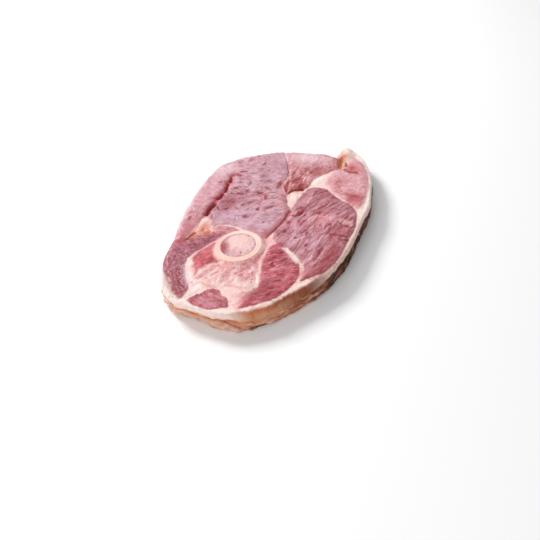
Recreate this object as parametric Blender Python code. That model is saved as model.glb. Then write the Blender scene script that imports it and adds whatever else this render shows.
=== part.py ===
"""A raw bone-in lamb leg steak, one cross-cut slice that lies flat on its lower cut face.

Four bodies run through the whole thickness of the slice: the lean with its muscles, the band of
outer fat, the ring of thigh bone and the plug of marrow inside the ring. Plan positions are in
millimetres: X runs from the bone end to the far end, Y from the fat side to the bare side, and Z
up from the surface that the slice lies on. PLAN_MIDDLE is the middle of the slice in that plan, and
it becomes the origin.
"""

import math

import bpy
import numpy as np
from mathutils import Vector
from mathutils.geometry import delaunay_2d_cdt

MM = 0.001
PLAN_MIDDLE = (0.0, 1.4)

# Heights of the slice
RIM_HEIGHT = 13.4
BONE_HEIGHT = 14.7
MARROW_HEIGHT = 14.0
MARROW_DOME = 0.5
MARROW_DOME_REACH = 3.0

# Bone ring, seen from above
BONE_CENTRE = (-36.5, 7.8)
BONE_RADII = (15.4, 13.1)
MARROW_CENTRE = (-35.9, 8.0)
MARROW_RADII = (11.4, 9.8)
BONE_TURN = math.radians(-16)

# Edges and meeting faces
GAP = 0.3
LEAN_ROUND = 4.0
FAT_ROUND = 2.0
BONE_ROUND = 0.8
SEAM_DEPTH = 0.5
SEAM_REACH = 1.6

# The fat's side is straight where the band is thinnest, and fully shaped this much further on.
THINNEST_FAT = 1.0
SHAPED_OVER = 1.6
FAT_END_SHIFT = (0.1, -0.3)

# Size of the facets, and how far free points keep from edges and rows, as a share of it
LEAN_STEP = 2.8
FAT_STEP = 2.2
BONE_STEP = 1.7
SWELL_STEP = 2.0
CREASE_STEP = 3.0
BOTTOM_COARSENING = 3.0
GRID_CLEARANCE = 0.6
ROW_CLEARANCE = 0.25
SPAN_SAMPLES = 24
SHARP_ANGLE = math.radians(50)

# Rows of points that follow a rounded edge or a crease
LEAN_ROUND_ROWS = (1.2, 3.2)
BONE_ROUND_ROW = 0.9
CREASE_SHOULDER = 1.3

# Rings down a side wall: depth as a share of the wall's height, then how far the wall stands out of
# the plan outline in millimetres. The fat has a lip, a crease under it and a fuller lower half.
FAT_WALL = ((0.14, 0.25), (0.34, -1.0), (0.48, -1.0), (0.66, 0.1), (0.86, -0.2), (1.0, -1.6))
LEAN_WALL = ((0.14, 0.2), (0.34, 0.2), (0.48, 0.0), (0.66, -0.3), (0.86, -0.9), (1.0, -2.0))
LUMP_LENGTHS = (17.0, 39.0)
LUMP_HEIGHT = 0.3

# The bone end leans in towards its foot, fat and lean together.
LEAN_IN = 4.0
LEAN_IN_MIDDLE = (-91.0, 15.0)
LEAN_IN_REACH = 19.0

# Outline of the slice, anticlockwise: the bare edge of the lean, then the outer edge of the fat.
BARE_EDGE = (
    (80.6, -16.8), (81.3, -8.6), (79.2, 0.8), (76.3, 11.3), (73.2, 22.2), (65.9, 32.3),
    (59.2, 41.3), (51.2, 48.5), (43.5, 53.8), (31.2, 55.9), (7.5, 56.0), (-13.8, 54.0),
    (-26.8, 51.8), (-44.6, 47.5), (-60.5, 45.0), (-69.4, 41.6),
)
FAT_EDGE = (
    (-69.4, 41.6), (-80.2, 36.2), (-86.4, 31.0), (-90.6, 25.0), (-92.5, 8.5), (-92.4, -3.0),
    (-87.7, -16.1), (-76.4, -29.1), (-59.7, -38.8), (-44.9, -47.2), (-24.3, -52.4),
    (18.9, -53.4), (32.8, -53.4), (44.5, -51.2), (65.2, -45.6), (84.2, -34.9), (91.0, -27.2),
    (92.5, -20.3), (88.0, -17.0), (80.6, -16.8),
)
# Where the lean meets the fat, in the same order as the fat's outer edge.
FAT_SEAM = (
    (-69.4, 41.6), (-72.0, 38.2), (-80.0, 30.0), (-86.6, 22.0), (-89.3, 12.0), (-89.2, 3.0),
    (-86.0, -6.0), (-80.0, -17.0), (-68.0, -30.0), (-60.0, -33.5), (-51.0, -35.5),
    (-45.0, -42.5), (-40.0, -46.6), (-30.0, -49.6), (-10.0, -51.0), (8.0, -50.4),
    (20.0, -48.5), (25.0, -45.8), (30.0, -48.3), (50.0, -47.6), (62.0, -44.2),
    (72.0, -40.2), (79.0, -34.5), (81.5, -29.5), (78.5, -26.6), (72.0, -25.3),
    (68.0, -22.8), (72.0, -20.5), (80.6, -16.8),
)

# Each muscle's outline on the cut face, how far its middle swells, and over what distance.
MUSCLES = {
    "topside": (2.0, 5.0, (
        (-26, 34), (-20, 20), (-23, 0), (-18, -6), (5, -8), (18, -4), (26, 0), (50, 8),
        (72, 18), (64, 29), (50, 45), (36, 42), (10, 38), (-15, 38.5),
    )),
    "adductor": (1.5, 4.0, (
        (26, -1), (50, 7), (72, 17), (77, 0), (79, -15), (67, -22), (50, -12), (35, -9),
    )),
    "silverside": (1.9, 4.5, (
        (-26, -10), (0, -9), (30, -10), (40, -17), (36, -28), (26, -45), (10, -50),
        (-20, -50.5), (-44, -43), (-50, -36), (-37, -30), (-28, -18),
    )),
    "eye": (1.3, 4.0, (
        (32, -37), (43, -20), (60, -20), (68, -24), (80, -29), (76, -38), (62, -44),
        (30, -47.5),
    )),
    "outer_thigh": (1.3, 3.0, (
        (-82, -12), (-70, -11), (-58, -14.5), (-38, -9), (-26, -7), (-25, -16), (-36, -29),
        (-50, -33.5), (-66, -28.5), (-77, -20),
    )),
    "inner_thigh": (0.9, 3.0, (
        (-74, 12), (-71, -3), (-62, -11), (-40, -6), (-24, 2), (-24, 16), (-40, 22),
        (-55, 28), (-69, 23),
    )),
    "front_thigh": (1.2, 3.0, (
        (-87, 21), (-78, 31), (-68, 40), (-50, 44.5), (-41, 41), (-30, 29), (-22, 15),
        (-36, 22.5), (-54, 30), (-72, 24),
    )),
    "tip": (1.0, 2.0, (
        (-88.5, 8), (-85, 15.5), (-75, 8.5), (-77, -2), (-84, -7),
    )),
    "edge_strip": (1.3, 3.0, (
        (-43, 43.5), (-30, 40), (0, 39.5), (30, 42), (45, 47.5), (38, 51.5), (8, 53),
        (-14, 51), (-30, 48.5),
    )),
}

# Folds and cracks in the cut face: depth, half width and path.
FOLDS = {
    "crack": (3.6, 1.3, ((-37, 40), (-14, 38.8), (5, 38.2), (20, 38.6), (31, 41))),
    "topside_seam": (1.0, 1.6, ((-22, -5), (-8, -7.8), (8, -8.3))),
    "eye_fold": (0.8, 1.4, ((65, -26), (66, -31), (67, -36))),
    "nub_slit": (2.2, 1.3, ((69, -22.8), (74, -25), (79, -26))),
}
NUB_RIDGE = ((91.5, -20.0), (83.5, -23.0))
NUB_RISE = 2.2
NUB_REACH = 4.5

# Surface colours, read as linear red, green and blue, and roughness
LEAN_COLOUR, LEAN_ROUGHNESS = (0.42, 0.10, 0.13), 0.35
FAT_COLOUR, FAT_ROUGHNESS = (0.76, 0.55, 0.42), 0.45
BONE_COLOUR, BONE_ROUGHNESS = (0.80, 0.62, 0.47), 0.5
MARROW_COLOUR, MARROW_ROUGHNESS = (0.62, 0.36, 0.35), 0.4


def smooth_path(points, step, closed=False):
    """A smooth curve through the points, cut into equal pieces of about one step."""
    points = np.array(points, float)
    if closed:
        points = np.vstack([points[-1:], points, points[:2]])
    spans = np.linalg.norm(np.diff(points, axis=0), axis=1)
    slopes = np.diff(points, axis=0) / spans[:, None]
    weights = spans[:, None]
    inner = (slopes[:-1] * weights[1:] + slopes[1:] * weights[:-1]) / (weights[:-1] + weights[1:])
    tangents = np.vstack([slopes[:1], inner, slopes[-1:]])
    first, last = (1, len(points) - 2) if closed else (0, len(points) - 1)
    pieces = []
    for i in range(first, last):
        t = np.linspace(0, 1, SPAN_SAMPLES, endpoint=False)[:, None]
        pieces.append(
            (2 * t**3 - 3 * t**2 + 1) * points[i]
            + (t**3 - 2 * t**2 + t) * spans[i] * tangents[i]
            + (3 * t**2 - 2 * t**3) * points[i + 1]
            + (t**3 - t**2) * spans[i] * tangents[i + 1]
        )
    curve = np.vstack(pieces + [points[last : last + 1]])
    run = np.concatenate([[0], np.cumsum(np.linalg.norm(np.diff(curve, axis=0), axis=1))])
    stops = np.linspace(0, run[-1], max(3, round(run[-1] / step)) + 1)
    path = np.column_stack([np.interp(stops, run, curve[:, k]) for k in (0, 1)])
    return path[:-1] if closed else path


def ellipse(centre, radii, turn, step, grow=0.0, clockwise=False):
    """A closed ring of points, turned about its centre and grown outwards by a margin."""
    wide, narrow = radii[0] + grow, radii[1] + grow
    count = round(math.pi * (wide + narrow) / step)
    angles = np.arange(count) * 2 * math.pi / count
    if clockwise:
        angles = -angles
    along, across = wide * np.cos(angles), narrow * np.sin(angles)
    x = centre[0] + along * math.cos(turn) - across * math.sin(turn)
    y = centre[1] + along * math.sin(turn) + across * math.cos(turn)
    return np.column_stack([x, y])


def closed_ring(loop):
    """The loop's points with the first repeated at the end."""
    return np.vstack([loop, loop[:1]])


def distance(points, path):
    """How far each point lies from an open path."""
    nearest = np.full(len(points), np.inf)
    for start, end in zip(path[:-1], path[1:]):
        along = end - start
        share = np.clip((points - start) @ along / (along @ along), 0, 1)
        off = points - start - share[:, None] * along
        nearest = np.minimum(nearest, np.hypot(off[:, 0], off[:, 1]))
    return nearest


def inside(points, loop):
    """Whether each point lies inside a closed loop."""
    x, y = points[:, :1], points[:, 1:]
    ahead = np.roll(loop, -1, axis=0)
    rise = ahead[:, 1] - loop[:, 1]
    crosses = (loop[:, 1] > y) != (ahead[:, 1] > y)
    safe_rise = np.where(rise == 0, 1, rise)
    at = loop[:, 0] + (y - loop[:, 1]) * (ahead[:, 0] - loop[:, 0]) / safe_rise
    return (crosses & (x < at)).sum(axis=1) % 2 == 1


def in_region(points, loops):
    """Whether each point lies inside the first loop and in none of the others."""
    found = inside(points, loops[0])
    for hole in loops[1:]:
        found &= ~inside(points, hole)
    return found


def outward(loop):
    """Unit normals that point out of the material, at each point of a loop."""
    along = np.roll(loop, -1, axis=0) - np.roll(loop, 1, axis=0)
    along /= np.linalg.norm(along, axis=1)[:, None]
    return np.column_stack([along[:, 1], -along[:, 0]])


def edge_drop(away, radius):
    """How much a rounded edge has fallen at a given distance in from it."""
    short = np.clip(radius - away, 0, radius)
    return radius - np.sqrt(radius**2 - short**2)


BARE = smooth_path(BARE_EDGE, LEAN_STEP)
RIND = smooth_path(FAT_EDGE, FAT_STEP)
SEAM = smooth_path(FAT_SEAM, FAT_STEP)
SWELLS = [
    (rise, reach, smooth_path(loop, SWELL_STEP, closed=True))
    for rise, reach, loop in MUSCLES.values()
]
CREASES = [(depth, half, smooth_path(path, CREASE_STEP)) for depth, half, path in FOLDS.values()]
BONE_HOLE = ellipse(BONE_CENTRE, BONE_RADII, BONE_TURN, BONE_STEP, GAP, clockwise=True)
NUB = smooth_path(NUB_RIDGE, SWELL_STEP)


def cut_face(points):
    """Height of the upper cut face: swelling muscles, sunk seams, folds, and rounded outer edges."""
    height = np.full(len(points), RIM_HEIGHT)
    for rise, reach, loop in SWELLS:
        depth_in = np.where(inside(points, loop), distance(points, closed_ring(loop)), 0)
        height += rise * (1 - np.exp(-depth_in / reach))
    for depth, half, path in CREASES:
        height -= depth * np.exp(-((distance(points, path) / half) ** 2))
    height -= SEAM_DEPTH * np.exp(-((distance(points, SEAM) / SEAM_REACH) ** 2))
    height += NUB_RISE * np.exp(-((distance(points, NUB) / NUB_REACH) ** 2))
    fall = np.maximum(
        edge_drop(distance(points, BARE), LEAN_ROUND), edge_drop(distance(points, RIND), FAT_ROUND)
    )
    return height - fall


def bone_face(points):
    """Height of the sawn bone, with its two edges a little rounded."""
    outer = ellipse(BONE_CENTRE, BONE_RADII, BONE_TURN, BONE_STEP)
    inner = ellipse(MARROW_CENTRE, MARROW_RADII, BONE_TURN, BONE_STEP)
    away = np.minimum(distance(points, closed_ring(outer)), distance(points, closed_ring(inner)))
    return BONE_HEIGHT - edge_drop(away, BONE_ROUND)


def marrow_face(points):
    """Height of the marrow, a low dome a little below the bone."""
    rim = ellipse(MARROW_CENTRE, MARROW_RADII, BONE_TURN, BONE_STEP)
    away = distance(points, closed_ring(rim))
    return MARROW_HEIGHT + MARROW_DOME * (1 - np.exp(-away / MARROW_DOME_REACH))


def grid(loops, rows, step):
    """Points on a triangular grid inside a region, clear of its edges and of the rows."""
    low, high = loops[0].min(axis=0), loops[0].max(axis=0)
    row_height = step * math.sqrt(3) / 2
    points = []
    for row, y in enumerate(np.arange(low[1], high[1], row_height)):
        start = low[0] + (row % 2) * step / 2
        points.extend((x, y) for x in np.arange(start, high[0], step))
    points = np.array(points)
    points = points[in_region(points, loops)]
    for path in [closed_ring(loop) for loop in loops] + list(rows):
        points = points[distance(points, path) > GRID_CLEARANCE * step]
    return points


def triangulate(loops, rows, step):
    """Plan points and triangles that fill a region. The loops' points come first, in order."""
    extra = [grid(loops, rows, step)]
    for row in rows:
        keep = in_region(row, loops)
        for loop in loops:
            keep &= distance(row, closed_ring(loop)) > ROW_CLEARANCE * step
        extra.append(row[keep])
    points = np.vstack(loops + extra)
    edges, start = [], 0
    for loop in loops:
        count = len(loop)
        edges += [(start + i, start + (i + 1) % count) for i in range(count)]
        start += count
    found, _, faces, sources, _, _ = delaunay_2d_cdt(
        [Vector(point) for point in points], edges, [], 0, 1e-6
    )
    found = np.array([tuple(point) for point in found])
    faces = np.array(faces)
    middles = found[faces].mean(axis=1)
    faces = faces[in_region(middles, loops)]
    order = np.array([source[0] for source in sources])
    return points, order[faces]


def foot_slope(loop):
    """How far the foot of the bone end is drawn in, at each point of a loop."""
    away = np.hypot(*(loop - LEAN_IN_MIDDLE).T)
    return LEAN_IN * np.exp(-((away / LEAN_IN_REACH) ** 2))


def wall_shape(loop, profile, weight, slope):
    """The plan position of each ring of a side wall.

    The profile holds where the wall is free (weight 1); slope draws its foot in, free or not.
    """
    normals = outward(loop)
    wave = lumps(loop, weight)
    rings = []
    for depth, stand_out in profile:
        swing = weight * stand_out + depth * (wave - slope)
        rings.append(loop + normals * swing[:, None])
    return rings


def lumps(loop, weight):
    """Uneven swelling along a side wall."""
    steps = np.linalg.norm(np.diff(closed_ring(loop), axis=0), axis=1)
    run = np.concatenate([[0], np.cumsum(steps)[:-1]])
    wave = sum(np.sin(2 * math.pi * run / length) for length in LUMP_LENGTHS)
    return LUMP_HEIGHT * weight * wave


def slab(name, loops, face, walls, step, rows, surface):
    """A closed body between a flat underside and a shaped face, with side walls made in rings.

    walls holds, for each loop, the plan positions of its rings and the ring depths. rows are lines
    that the face's points follow, and surface is the body's material.
    """
    plan, top = triangulate(loops, rows, step)
    points = [np.column_stack([plan, face(plan)])]
    faces = [tuple(triangle) for triangle in top]
    count = len(plan)
    starts, start = [], 0
    for loop in loops:
        starts.append(start)
        start += len(loop)
    floor_loops, floor_ids = [], []
    for loop, first, (rings, depths) in zip(loops, starts, walls):
        size = len(loop)
        edge_height = points[0][first : first + size, 2]
        above = np.arange(first, first + size)
        for ring, depth in zip(rings, depths):
            here = np.arange(count, count + size)
            points.append(np.column_stack([ring, edge_height * (1 - depth)]))
            after = np.roll(np.arange(size), -1)
            faces += list(zip(above, here, here[after], above[after]))
            above, count = here, count + size
        floor_loops.append(rings[-1])
        floor_ids.append(above)
    floor, under = triangulate(floor_loops, (), step * BOTTOM_COARSENING)
    on_wall = sum(len(loop) for loop in floor_loops)
    loose = floor[on_wall:]
    ids = np.concatenate(floor_ids + [np.arange(count, count + len(loose))])
    points.append(np.column_stack([loose, np.zeros(len(loose))]))
    faces += [tuple(ids[triangle[::-1]]) for triangle in under]

    mesh = bpy.data.meshes.new(name)
    places = (np.vstack(points) - (*PLAN_MIDDLE, 0.0)) * MM
    mesh.from_pydata(places.tolist(), [], [[int(i) for i in face] for face in faces])
    mesh.validate()
    mesh.shade_smooth()
    mesh.set_sharp_from_angle(angle=SHARP_ANGLE)
    body = bpy.data.objects.new(name, mesh)
    bpy.context.scene.collection.objects.link(body)
    mesh.materials.append(surface)
    return body


def finish(name, colour, roughness):
    """A plain surface of one colour."""
    material = bpy.data.materials.new(name)
    material.use_nodes = True
    surface = material.node_tree.nodes["Principled BSDF"]
    surface.inputs["Base Color"].default_value = (*colour, 1)
    surface.inputs["Roughness"].default_value = roughness
    surface.inputs["Metallic"].default_value = 0.0
    return material


def straight_wall(loop):
    """A side wall with no rings between its edges."""
    return [loop], [1.0]


def make_lean():
    """The lean: every muscle in one body, with the hole that the bone fills."""
    loop = np.vstack([BARE[:-1], SEAM[:-1]])
    bare = np.concatenate([np.ones(len(BARE) - 1), np.zeros(len(SEAM) - 1)])
    bare[0] = 0
    depths = [depth for depth, _ in LEAN_WALL]
    outer_wall = wall_shape(loop, LEAN_WALL, bare, foot_slope(loop))
    normals = outward(loop)
    rows = [(loop - normals * inset)[: len(BARE)] for inset in LEAN_ROUND_ROWS]
    for _, half, path in CREASES:
        sideways = np.column_stack([-np.gradient(path[:, 1]), np.gradient(path[:, 0])])
        sideways /= np.linalg.norm(sideways, axis=1)[:, None]
        shoulder = CREASE_SHOULDER * half * sideways
        rows += [path, path + shoulder, path - shoulder]
    walls = [(outer_wall, depths), straight_wall(BONE_HOLE)]
    return slab("lean", [loop, BONE_HOLE], cut_face, walls, LEAN_STEP, rows,
                finish("raw_lean", LEAN_COLOUR, LEAN_ROUGHNESS))


def make_fat():
    """The band of outer fat, with its lip, crease and lumpy lower half, out to the nub."""
    beside_lean = closed_ring(np.vstack([BARE[:-1], SEAM[:-1]]))
    normals = outward(beside_lean[:-1])[len(BARE) - 1 :]
    inner = (SEAM[:-1] + GAP * normals)[1:]
    inner = np.vstack([inner, [SEAM[-1] + FAT_END_SHIFT]])
    outer = RIND[1:-1]
    loop = np.vstack([outer, inner[::-1]])
    thickness = distance(outer, SEAM)
    room = np.clip((thickness - THINNEST_FAT) / SHAPED_OVER, 0, 1)
    free = np.concatenate([room, np.zeros(len(inner))])
    depths = [depth for depth, _ in FAT_WALL]
    slope = foot_slope(loop) * np.repeat([1, -1], [len(outer), len(inner)])
    wall = wall_shape(loop, FAT_WALL, free, slope)
    return slab("outer_fat", [loop], cut_face, [(wall, depths)], FAT_STEP, [NUB],
                finish("raw_fat", FAT_COLOUR, FAT_ROUGHNESS))


def make_bone():
    """The sawn ring of thigh bone."""
    outer = ellipse(BONE_CENTRE, BONE_RADII, BONE_TURN, BONE_STEP)
    inner = ellipse(MARROW_CENTRE, MARROW_RADII, BONE_TURN, BONE_STEP, clockwise=True)
    rows = [rim - outward(rim) * BONE_ROUND_ROW for rim in (outer, inner)]
    walls = [straight_wall(outer), straight_wall(inner)]
    return slab("bone", [outer, inner], bone_face, walls, BONE_STEP, rows,
                finish("sawn_bone", BONE_COLOUR, BONE_ROUGHNESS))


def make_marrow():
    """The plug of marrow in the bone."""
    loop = ellipse(MARROW_CENTRE, MARROW_RADII, BONE_TURN, BONE_STEP, -GAP)
    return slab("marrow", [loop], marrow_face, [straight_wall(loop)], BONE_STEP, (),
                finish("marrow_pulp", MARROW_COLOUR, MARROW_ROUGHNESS))


def main():
    for old in list(bpy.data.objects):
        bpy.data.objects.remove(old)
    make_lean()
    make_fat()
    make_bone()
    make_marrow()


main()
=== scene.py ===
# %% [markdown]
# # A raw lamb leg steak
# The steak is one slice across a leg of lamb: a dozen muscles cut across their grain, thin seams of
# fat between them, a band of outer fat round one side, and a ring of thigh bone with its marrow.
# The packed solids give the size and the place of each piece. They come first, because every finer
# piece below has to lie inside them.

# %% Load the packed solids
import math

import bpy
import numpy as np
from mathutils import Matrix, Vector
from mathutils.geometry import delaunay_2d_cdt


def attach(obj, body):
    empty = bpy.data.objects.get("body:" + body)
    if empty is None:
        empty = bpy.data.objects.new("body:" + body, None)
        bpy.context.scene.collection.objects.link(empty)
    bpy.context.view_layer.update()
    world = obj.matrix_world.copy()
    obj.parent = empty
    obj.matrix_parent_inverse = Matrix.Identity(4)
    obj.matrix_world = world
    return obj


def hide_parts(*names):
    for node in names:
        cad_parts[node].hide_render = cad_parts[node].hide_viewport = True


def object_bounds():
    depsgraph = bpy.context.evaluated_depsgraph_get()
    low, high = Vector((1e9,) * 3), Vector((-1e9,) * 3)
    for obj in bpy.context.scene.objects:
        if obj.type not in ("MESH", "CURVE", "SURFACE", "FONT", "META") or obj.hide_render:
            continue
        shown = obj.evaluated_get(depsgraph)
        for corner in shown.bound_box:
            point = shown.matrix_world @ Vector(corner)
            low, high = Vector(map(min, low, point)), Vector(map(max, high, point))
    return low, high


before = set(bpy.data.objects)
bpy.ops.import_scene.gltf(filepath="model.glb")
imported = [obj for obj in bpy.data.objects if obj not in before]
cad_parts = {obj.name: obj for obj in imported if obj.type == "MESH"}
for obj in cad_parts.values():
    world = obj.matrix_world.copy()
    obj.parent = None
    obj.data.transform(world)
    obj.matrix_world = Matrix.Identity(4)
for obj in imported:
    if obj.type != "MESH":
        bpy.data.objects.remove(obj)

SOLID_BOX = [list(corner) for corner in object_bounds()]
print("solids, mm:", [round(1000 * (high - low), 1) for low, high in zip(*SOLID_BOX)])

# %% [markdown]
# ## Working in millimetres on a flat plan
# A steak is nearly flat, so every muscle, seam and stain is easiest to place on a plan, in
# millimetres. Places are turned into metres only when a piece is written. PLAN_MIDDLE is the plan
# place that lies over the world's origin.

# %% Units and main sizes
MM = 0.001
PLAN_MIDDLE = (0.0, 1.4)
RIM_HEIGHT = 13.4
LEAN_ROUND = 4.0
FAT_ROUND = 1.8
LEAN_STEP = 0.48
FAT_STEP = 0.45
UNDER_STEP = 1.4
print("facets of the lean:", LEAN_STEP, "mm")

# %% [markdown]
# ## Random hills
# Meat has no straight line and no even colour. Nearly all its unevenness can be made from one
# function: smooth hills of random height, one unit apart. Stretching the plan before asking for the
# hills turns them into fibres, and adding smaller hills to larger ones gives a rough surface. The
# random numbers come from a fixed rule, so each run gives the same steak.

# %% Hills, and a soft step
def scatter(column, row, seed):
    """A fixed random number from 0 to 1 for each whole column and row."""
    mixed = (column.astype(np.int64) * 374761393 + row.astype(np.int64) * 668265263 + seed * 69069)
    mixed = mixed & 0xFFFFFFFF
    mixed = ((mixed ^ (mixed >> 13)) * 1274126177) & 0xFFFFFFFF
    return ((mixed ^ (mixed >> 16)) & 0xFFFF) / 65535


def hills(u, v, seed=0):
    """Smooth random hills and hollows, about one unit across, from -1 to 1."""
    column, row = np.floor(u), np.floor(v)
    du, dv = u - column, v - row
    ease_u = du * du * du * (du * (du * 6 - 15) + 10)
    ease_v = dv * dv * dv * (dv * (dv * 6 - 15) + 10)
    total = 0
    for i in (0, 1):
        for j in (0, 1):
            turn = 2 * math.pi * scatter(column + i, row + j, seed)
            slope = np.cos(turn) * (du - i) + np.sin(turn) * (dv - j)
            total = total + slope * (ease_u if i else 1 - ease_u) * (ease_v if j else 1 - ease_v)
    return 1.5 * total


def rough(u, v, seed=0):
    """Hills with smaller and smaller hills on them."""
    large, middling = hills(u, v, seed), hills(2.1 * u, 2.1 * v, seed + 1)
    return large + 0.5 * middling + 0.25 * hills(4.3 * u, 4.3 * v, seed + 2)


def soft_step(low, high, value):
    """0 below low, 1 above high, and a smooth rise between them."""
    share = np.clip((value - low) / (high - low), 0, 1)
    return share * share * (3 - 2 * share)


def blend(first, second, share):
    """A mix of two colours or arrays of colours, point by point."""
    return first + (second - first) * np.asarray(share)[..., None]


def paint(red, green, blue):
    """A colour as screens state it, 0 to 255, turned into the linear numbers that light uses."""
    value = np.array([red, green, blue]) / 255
    return np.where(value <= 0.04045, value / 12.92, ((value + 0.055) / 1.055) ** 2.4)


print("hills at the origin:", float(hills(np.zeros(1) + 0.3, np.zeros(1) + 0.6)[0]))

# %% [markdown]
# ## Smooth outlines from a few points
# An outline that a knife or a muscle makes is a smooth curve. A handful of points with a curve
# through them says the same as hundreds of points, and can still be read and changed. The same
# cell holds the two questions that every later step asks: how far is a point from a curve, and is
# it inside.

# %% Curves, distances and insides
CURVE_PARTS = 48


def smooth_path(points, step, closed=False):
    """A smooth curve through the points, cut into equal pieces of about one step."""
    points = np.array(points, float)
    if closed:
        points = np.vstack([points[-1:], points, points[:2]])
    spans = np.linalg.norm(np.diff(points, axis=0), axis=1)
    slopes = np.diff(points, axis=0) / spans[:, None]
    weights = spans[:, None]
    inner = (slopes[:-1] * weights[1:] + slopes[1:] * weights[:-1]) / (weights[:-1] + weights[1:])
    tangents = np.vstack([slopes[:1], inner, slopes[-1:]])
    first, last = (1, len(points) - 2) if closed else (0, len(points) - 1)
    pieces = []
    for i in range(first, last):
        t = np.linspace(0, 1, CURVE_PARTS, endpoint=False)[:, None]
        pieces.append(
            (2 * t**3 - 3 * t**2 + 1) * points[i]
            + (t**3 - 2 * t**2 + t) * spans[i] * tangents[i]
            + (3 * t**2 - 2 * t**3) * points[i + 1]
            + (t**3 - t**2) * spans[i] * tangents[i + 1]
        )
    curve = np.vstack(pieces + [points[last : last + 1]])
    run = np.concatenate([[0], np.cumsum(np.linalg.norm(np.diff(curve, axis=0), axis=1))])
    stops = np.linspace(0, run[-1], max(3, round(run[-1] / step)) + 1)
    path = np.column_stack([np.interp(stops, run, curve[:, k]) for k in (0, 1)])
    return path[:-1] if closed else path


def closed_ring(loop):
    """The loop's points with the first repeated at the end."""
    return np.vstack([loop, loop[:1]])


def distance(points, path):
    """How far each point lies from an open path."""
    nearest = np.full(len(points), np.inf)
    for start, end in zip(path[:-1], path[1:]):
        along = end - start
        share = np.clip((points - start) @ along / (along @ along), 0, 1)
        off = points - start - share[:, None] * along
        nearest = np.minimum(nearest, off[:, 0] ** 2 + off[:, 1] ** 2)
    return np.sqrt(nearest)


def inside(points, loop):
    """Whether each point lies inside a closed loop."""
    ahead = np.roll(loop, -1, axis=0)
    found = np.zeros(len(points), bool)
    for (ax, ay), (bx, by) in zip(loop, ahead):
        if ay == by:
            continue
        crosses = (ay > points[:, 1]) != (by > points[:, 1])
        found ^= crosses & (points[:, 0] < ax + (points[:, 1] - ay) * (bx - ax) / (by - ay))
    return found


def depth_inside(points, loop):
    """How deep each point lies inside a loop, negative outside it."""
    away = distance(points, closed_ring(loop))
    return np.where(inside(points, loop), away, -away)


def ellipse(centre, radii, turn, step, clockwise=False):
    """A closed ring of points, turned about its centre."""
    count = round(math.pi * (radii[0] + radii[1]) / step)
    angles = np.arange(count) * 2 * math.pi / count * (-1 if clockwise else 1)
    along, across = radii[0] * np.cos(angles), radii[1] * np.sin(angles)
    x = centre[0] + along * math.cos(turn) - across * math.sin(turn)
    y = centre[1] + along * math.sin(turn) + across * math.cos(turn)
    return np.column_stack([x, y])


print("a circle of 10 mm radius takes", len(ellipse((0, 0), (10, 10), 0, 1.0)), "points 1 mm apart")

# %% [markdown]
# ## The outline of the slice
# The slice has two kinds of edge. The bare edge is lean with nothing over it. The rest carries the
# band of outer fat, whose inner edge is where it meets the lean. These are the solids' own outlines,
# taken in smaller steps.

# %% Edges of the slice and of the bone
BARE_EDGE = (
    (80.6, -16.8), (81.3, -8.6), (79.2, 0.8), (76.3, 11.3), (73.2, 22.2), (65.9, 32.3),
    (59.2, 41.3), (51.2, 48.5), (43.5, 53.8), (31.2, 55.9), (7.5, 56.0), (-13.8, 54.0),
    (-26.8, 51.8), (-44.6, 47.5), (-60.5, 45.0), (-69.4, 41.6),
)
FAT_EDGE = (
    (-69.4, 41.6), (-80.2, 36.2), (-86.4, 31.0), (-90.6, 25.0), (-92.4, 8.5), (-92.3, -3.0),
    (-87.7, -16.1), (-76.4, -29.1), (-59.7, -38.8), (-44.9, -47.2), (-24.3, -52.4),
    (18.9, -53.4), (32.8, -53.4), (44.5, -51.2), (65.2, -45.6), (84.2, -34.9), (91.0, -27.2),
    (92.5, -20.3), (88.0, -17.0), (80.6, -16.8),
)
FAT_SEAM = (
    (-69.4, 41.6), (-72.0, 38.2), (-80.0, 30.0), (-86.6, 22.0), (-89.3, 12.0), (-89.2, 3.0),
    (-86.0, -6.0), (-80.0, -17.0), (-68.0, -30.0), (-60.0, -33.5), (-51.0, -35.5),
    (-45.0, -42.5), (-40.0, -46.6), (-30.0, -49.6), (-10.0, -51.0), (8.0, -50.4),
    (20.0, -48.5), (25.0, -45.8), (30.0, -48.3), (50.0, -47.6), (62.0, -44.2),
    (72.0, -40.2), (79.0, -34.5), (81.5, -29.5), (78.5, -26.6), (72.0, -25.3),
    (68.0, -22.8), (72.0, -20.5), (80.6, -16.8),
)
BARE = smooth_path(BARE_EDGE, LEAN_STEP)
RIND = smooth_path(FAT_EDGE, FAT_STEP)
SEAM = smooth_path(FAT_SEAM, FAT_STEP)

BONE_CENTRE, BONE_RADII = (-36.5, 7.8), (15.4, 13.1)
MARROW_CENTRE, MARROW_RADII = (-35.9, 8.0), (11.4, 9.8)
BONE_TURN = math.radians(-16)
BONE_HEIGHT = 14.7
MARROW_HEIGHT = 14.0
BONE_RING = ellipse(BONE_CENTRE, BONE_RADII, BONE_TURN, 1.0)
MARROW_RING = ellipse(MARROW_CENTRE, MARROW_RADII, BONE_TURN, 1.0)
print("bare edge", round(LEAN_STEP * len(BARE)), "mm, fat edge", round(FAT_STEP * len(RIND)), "mm")
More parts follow.
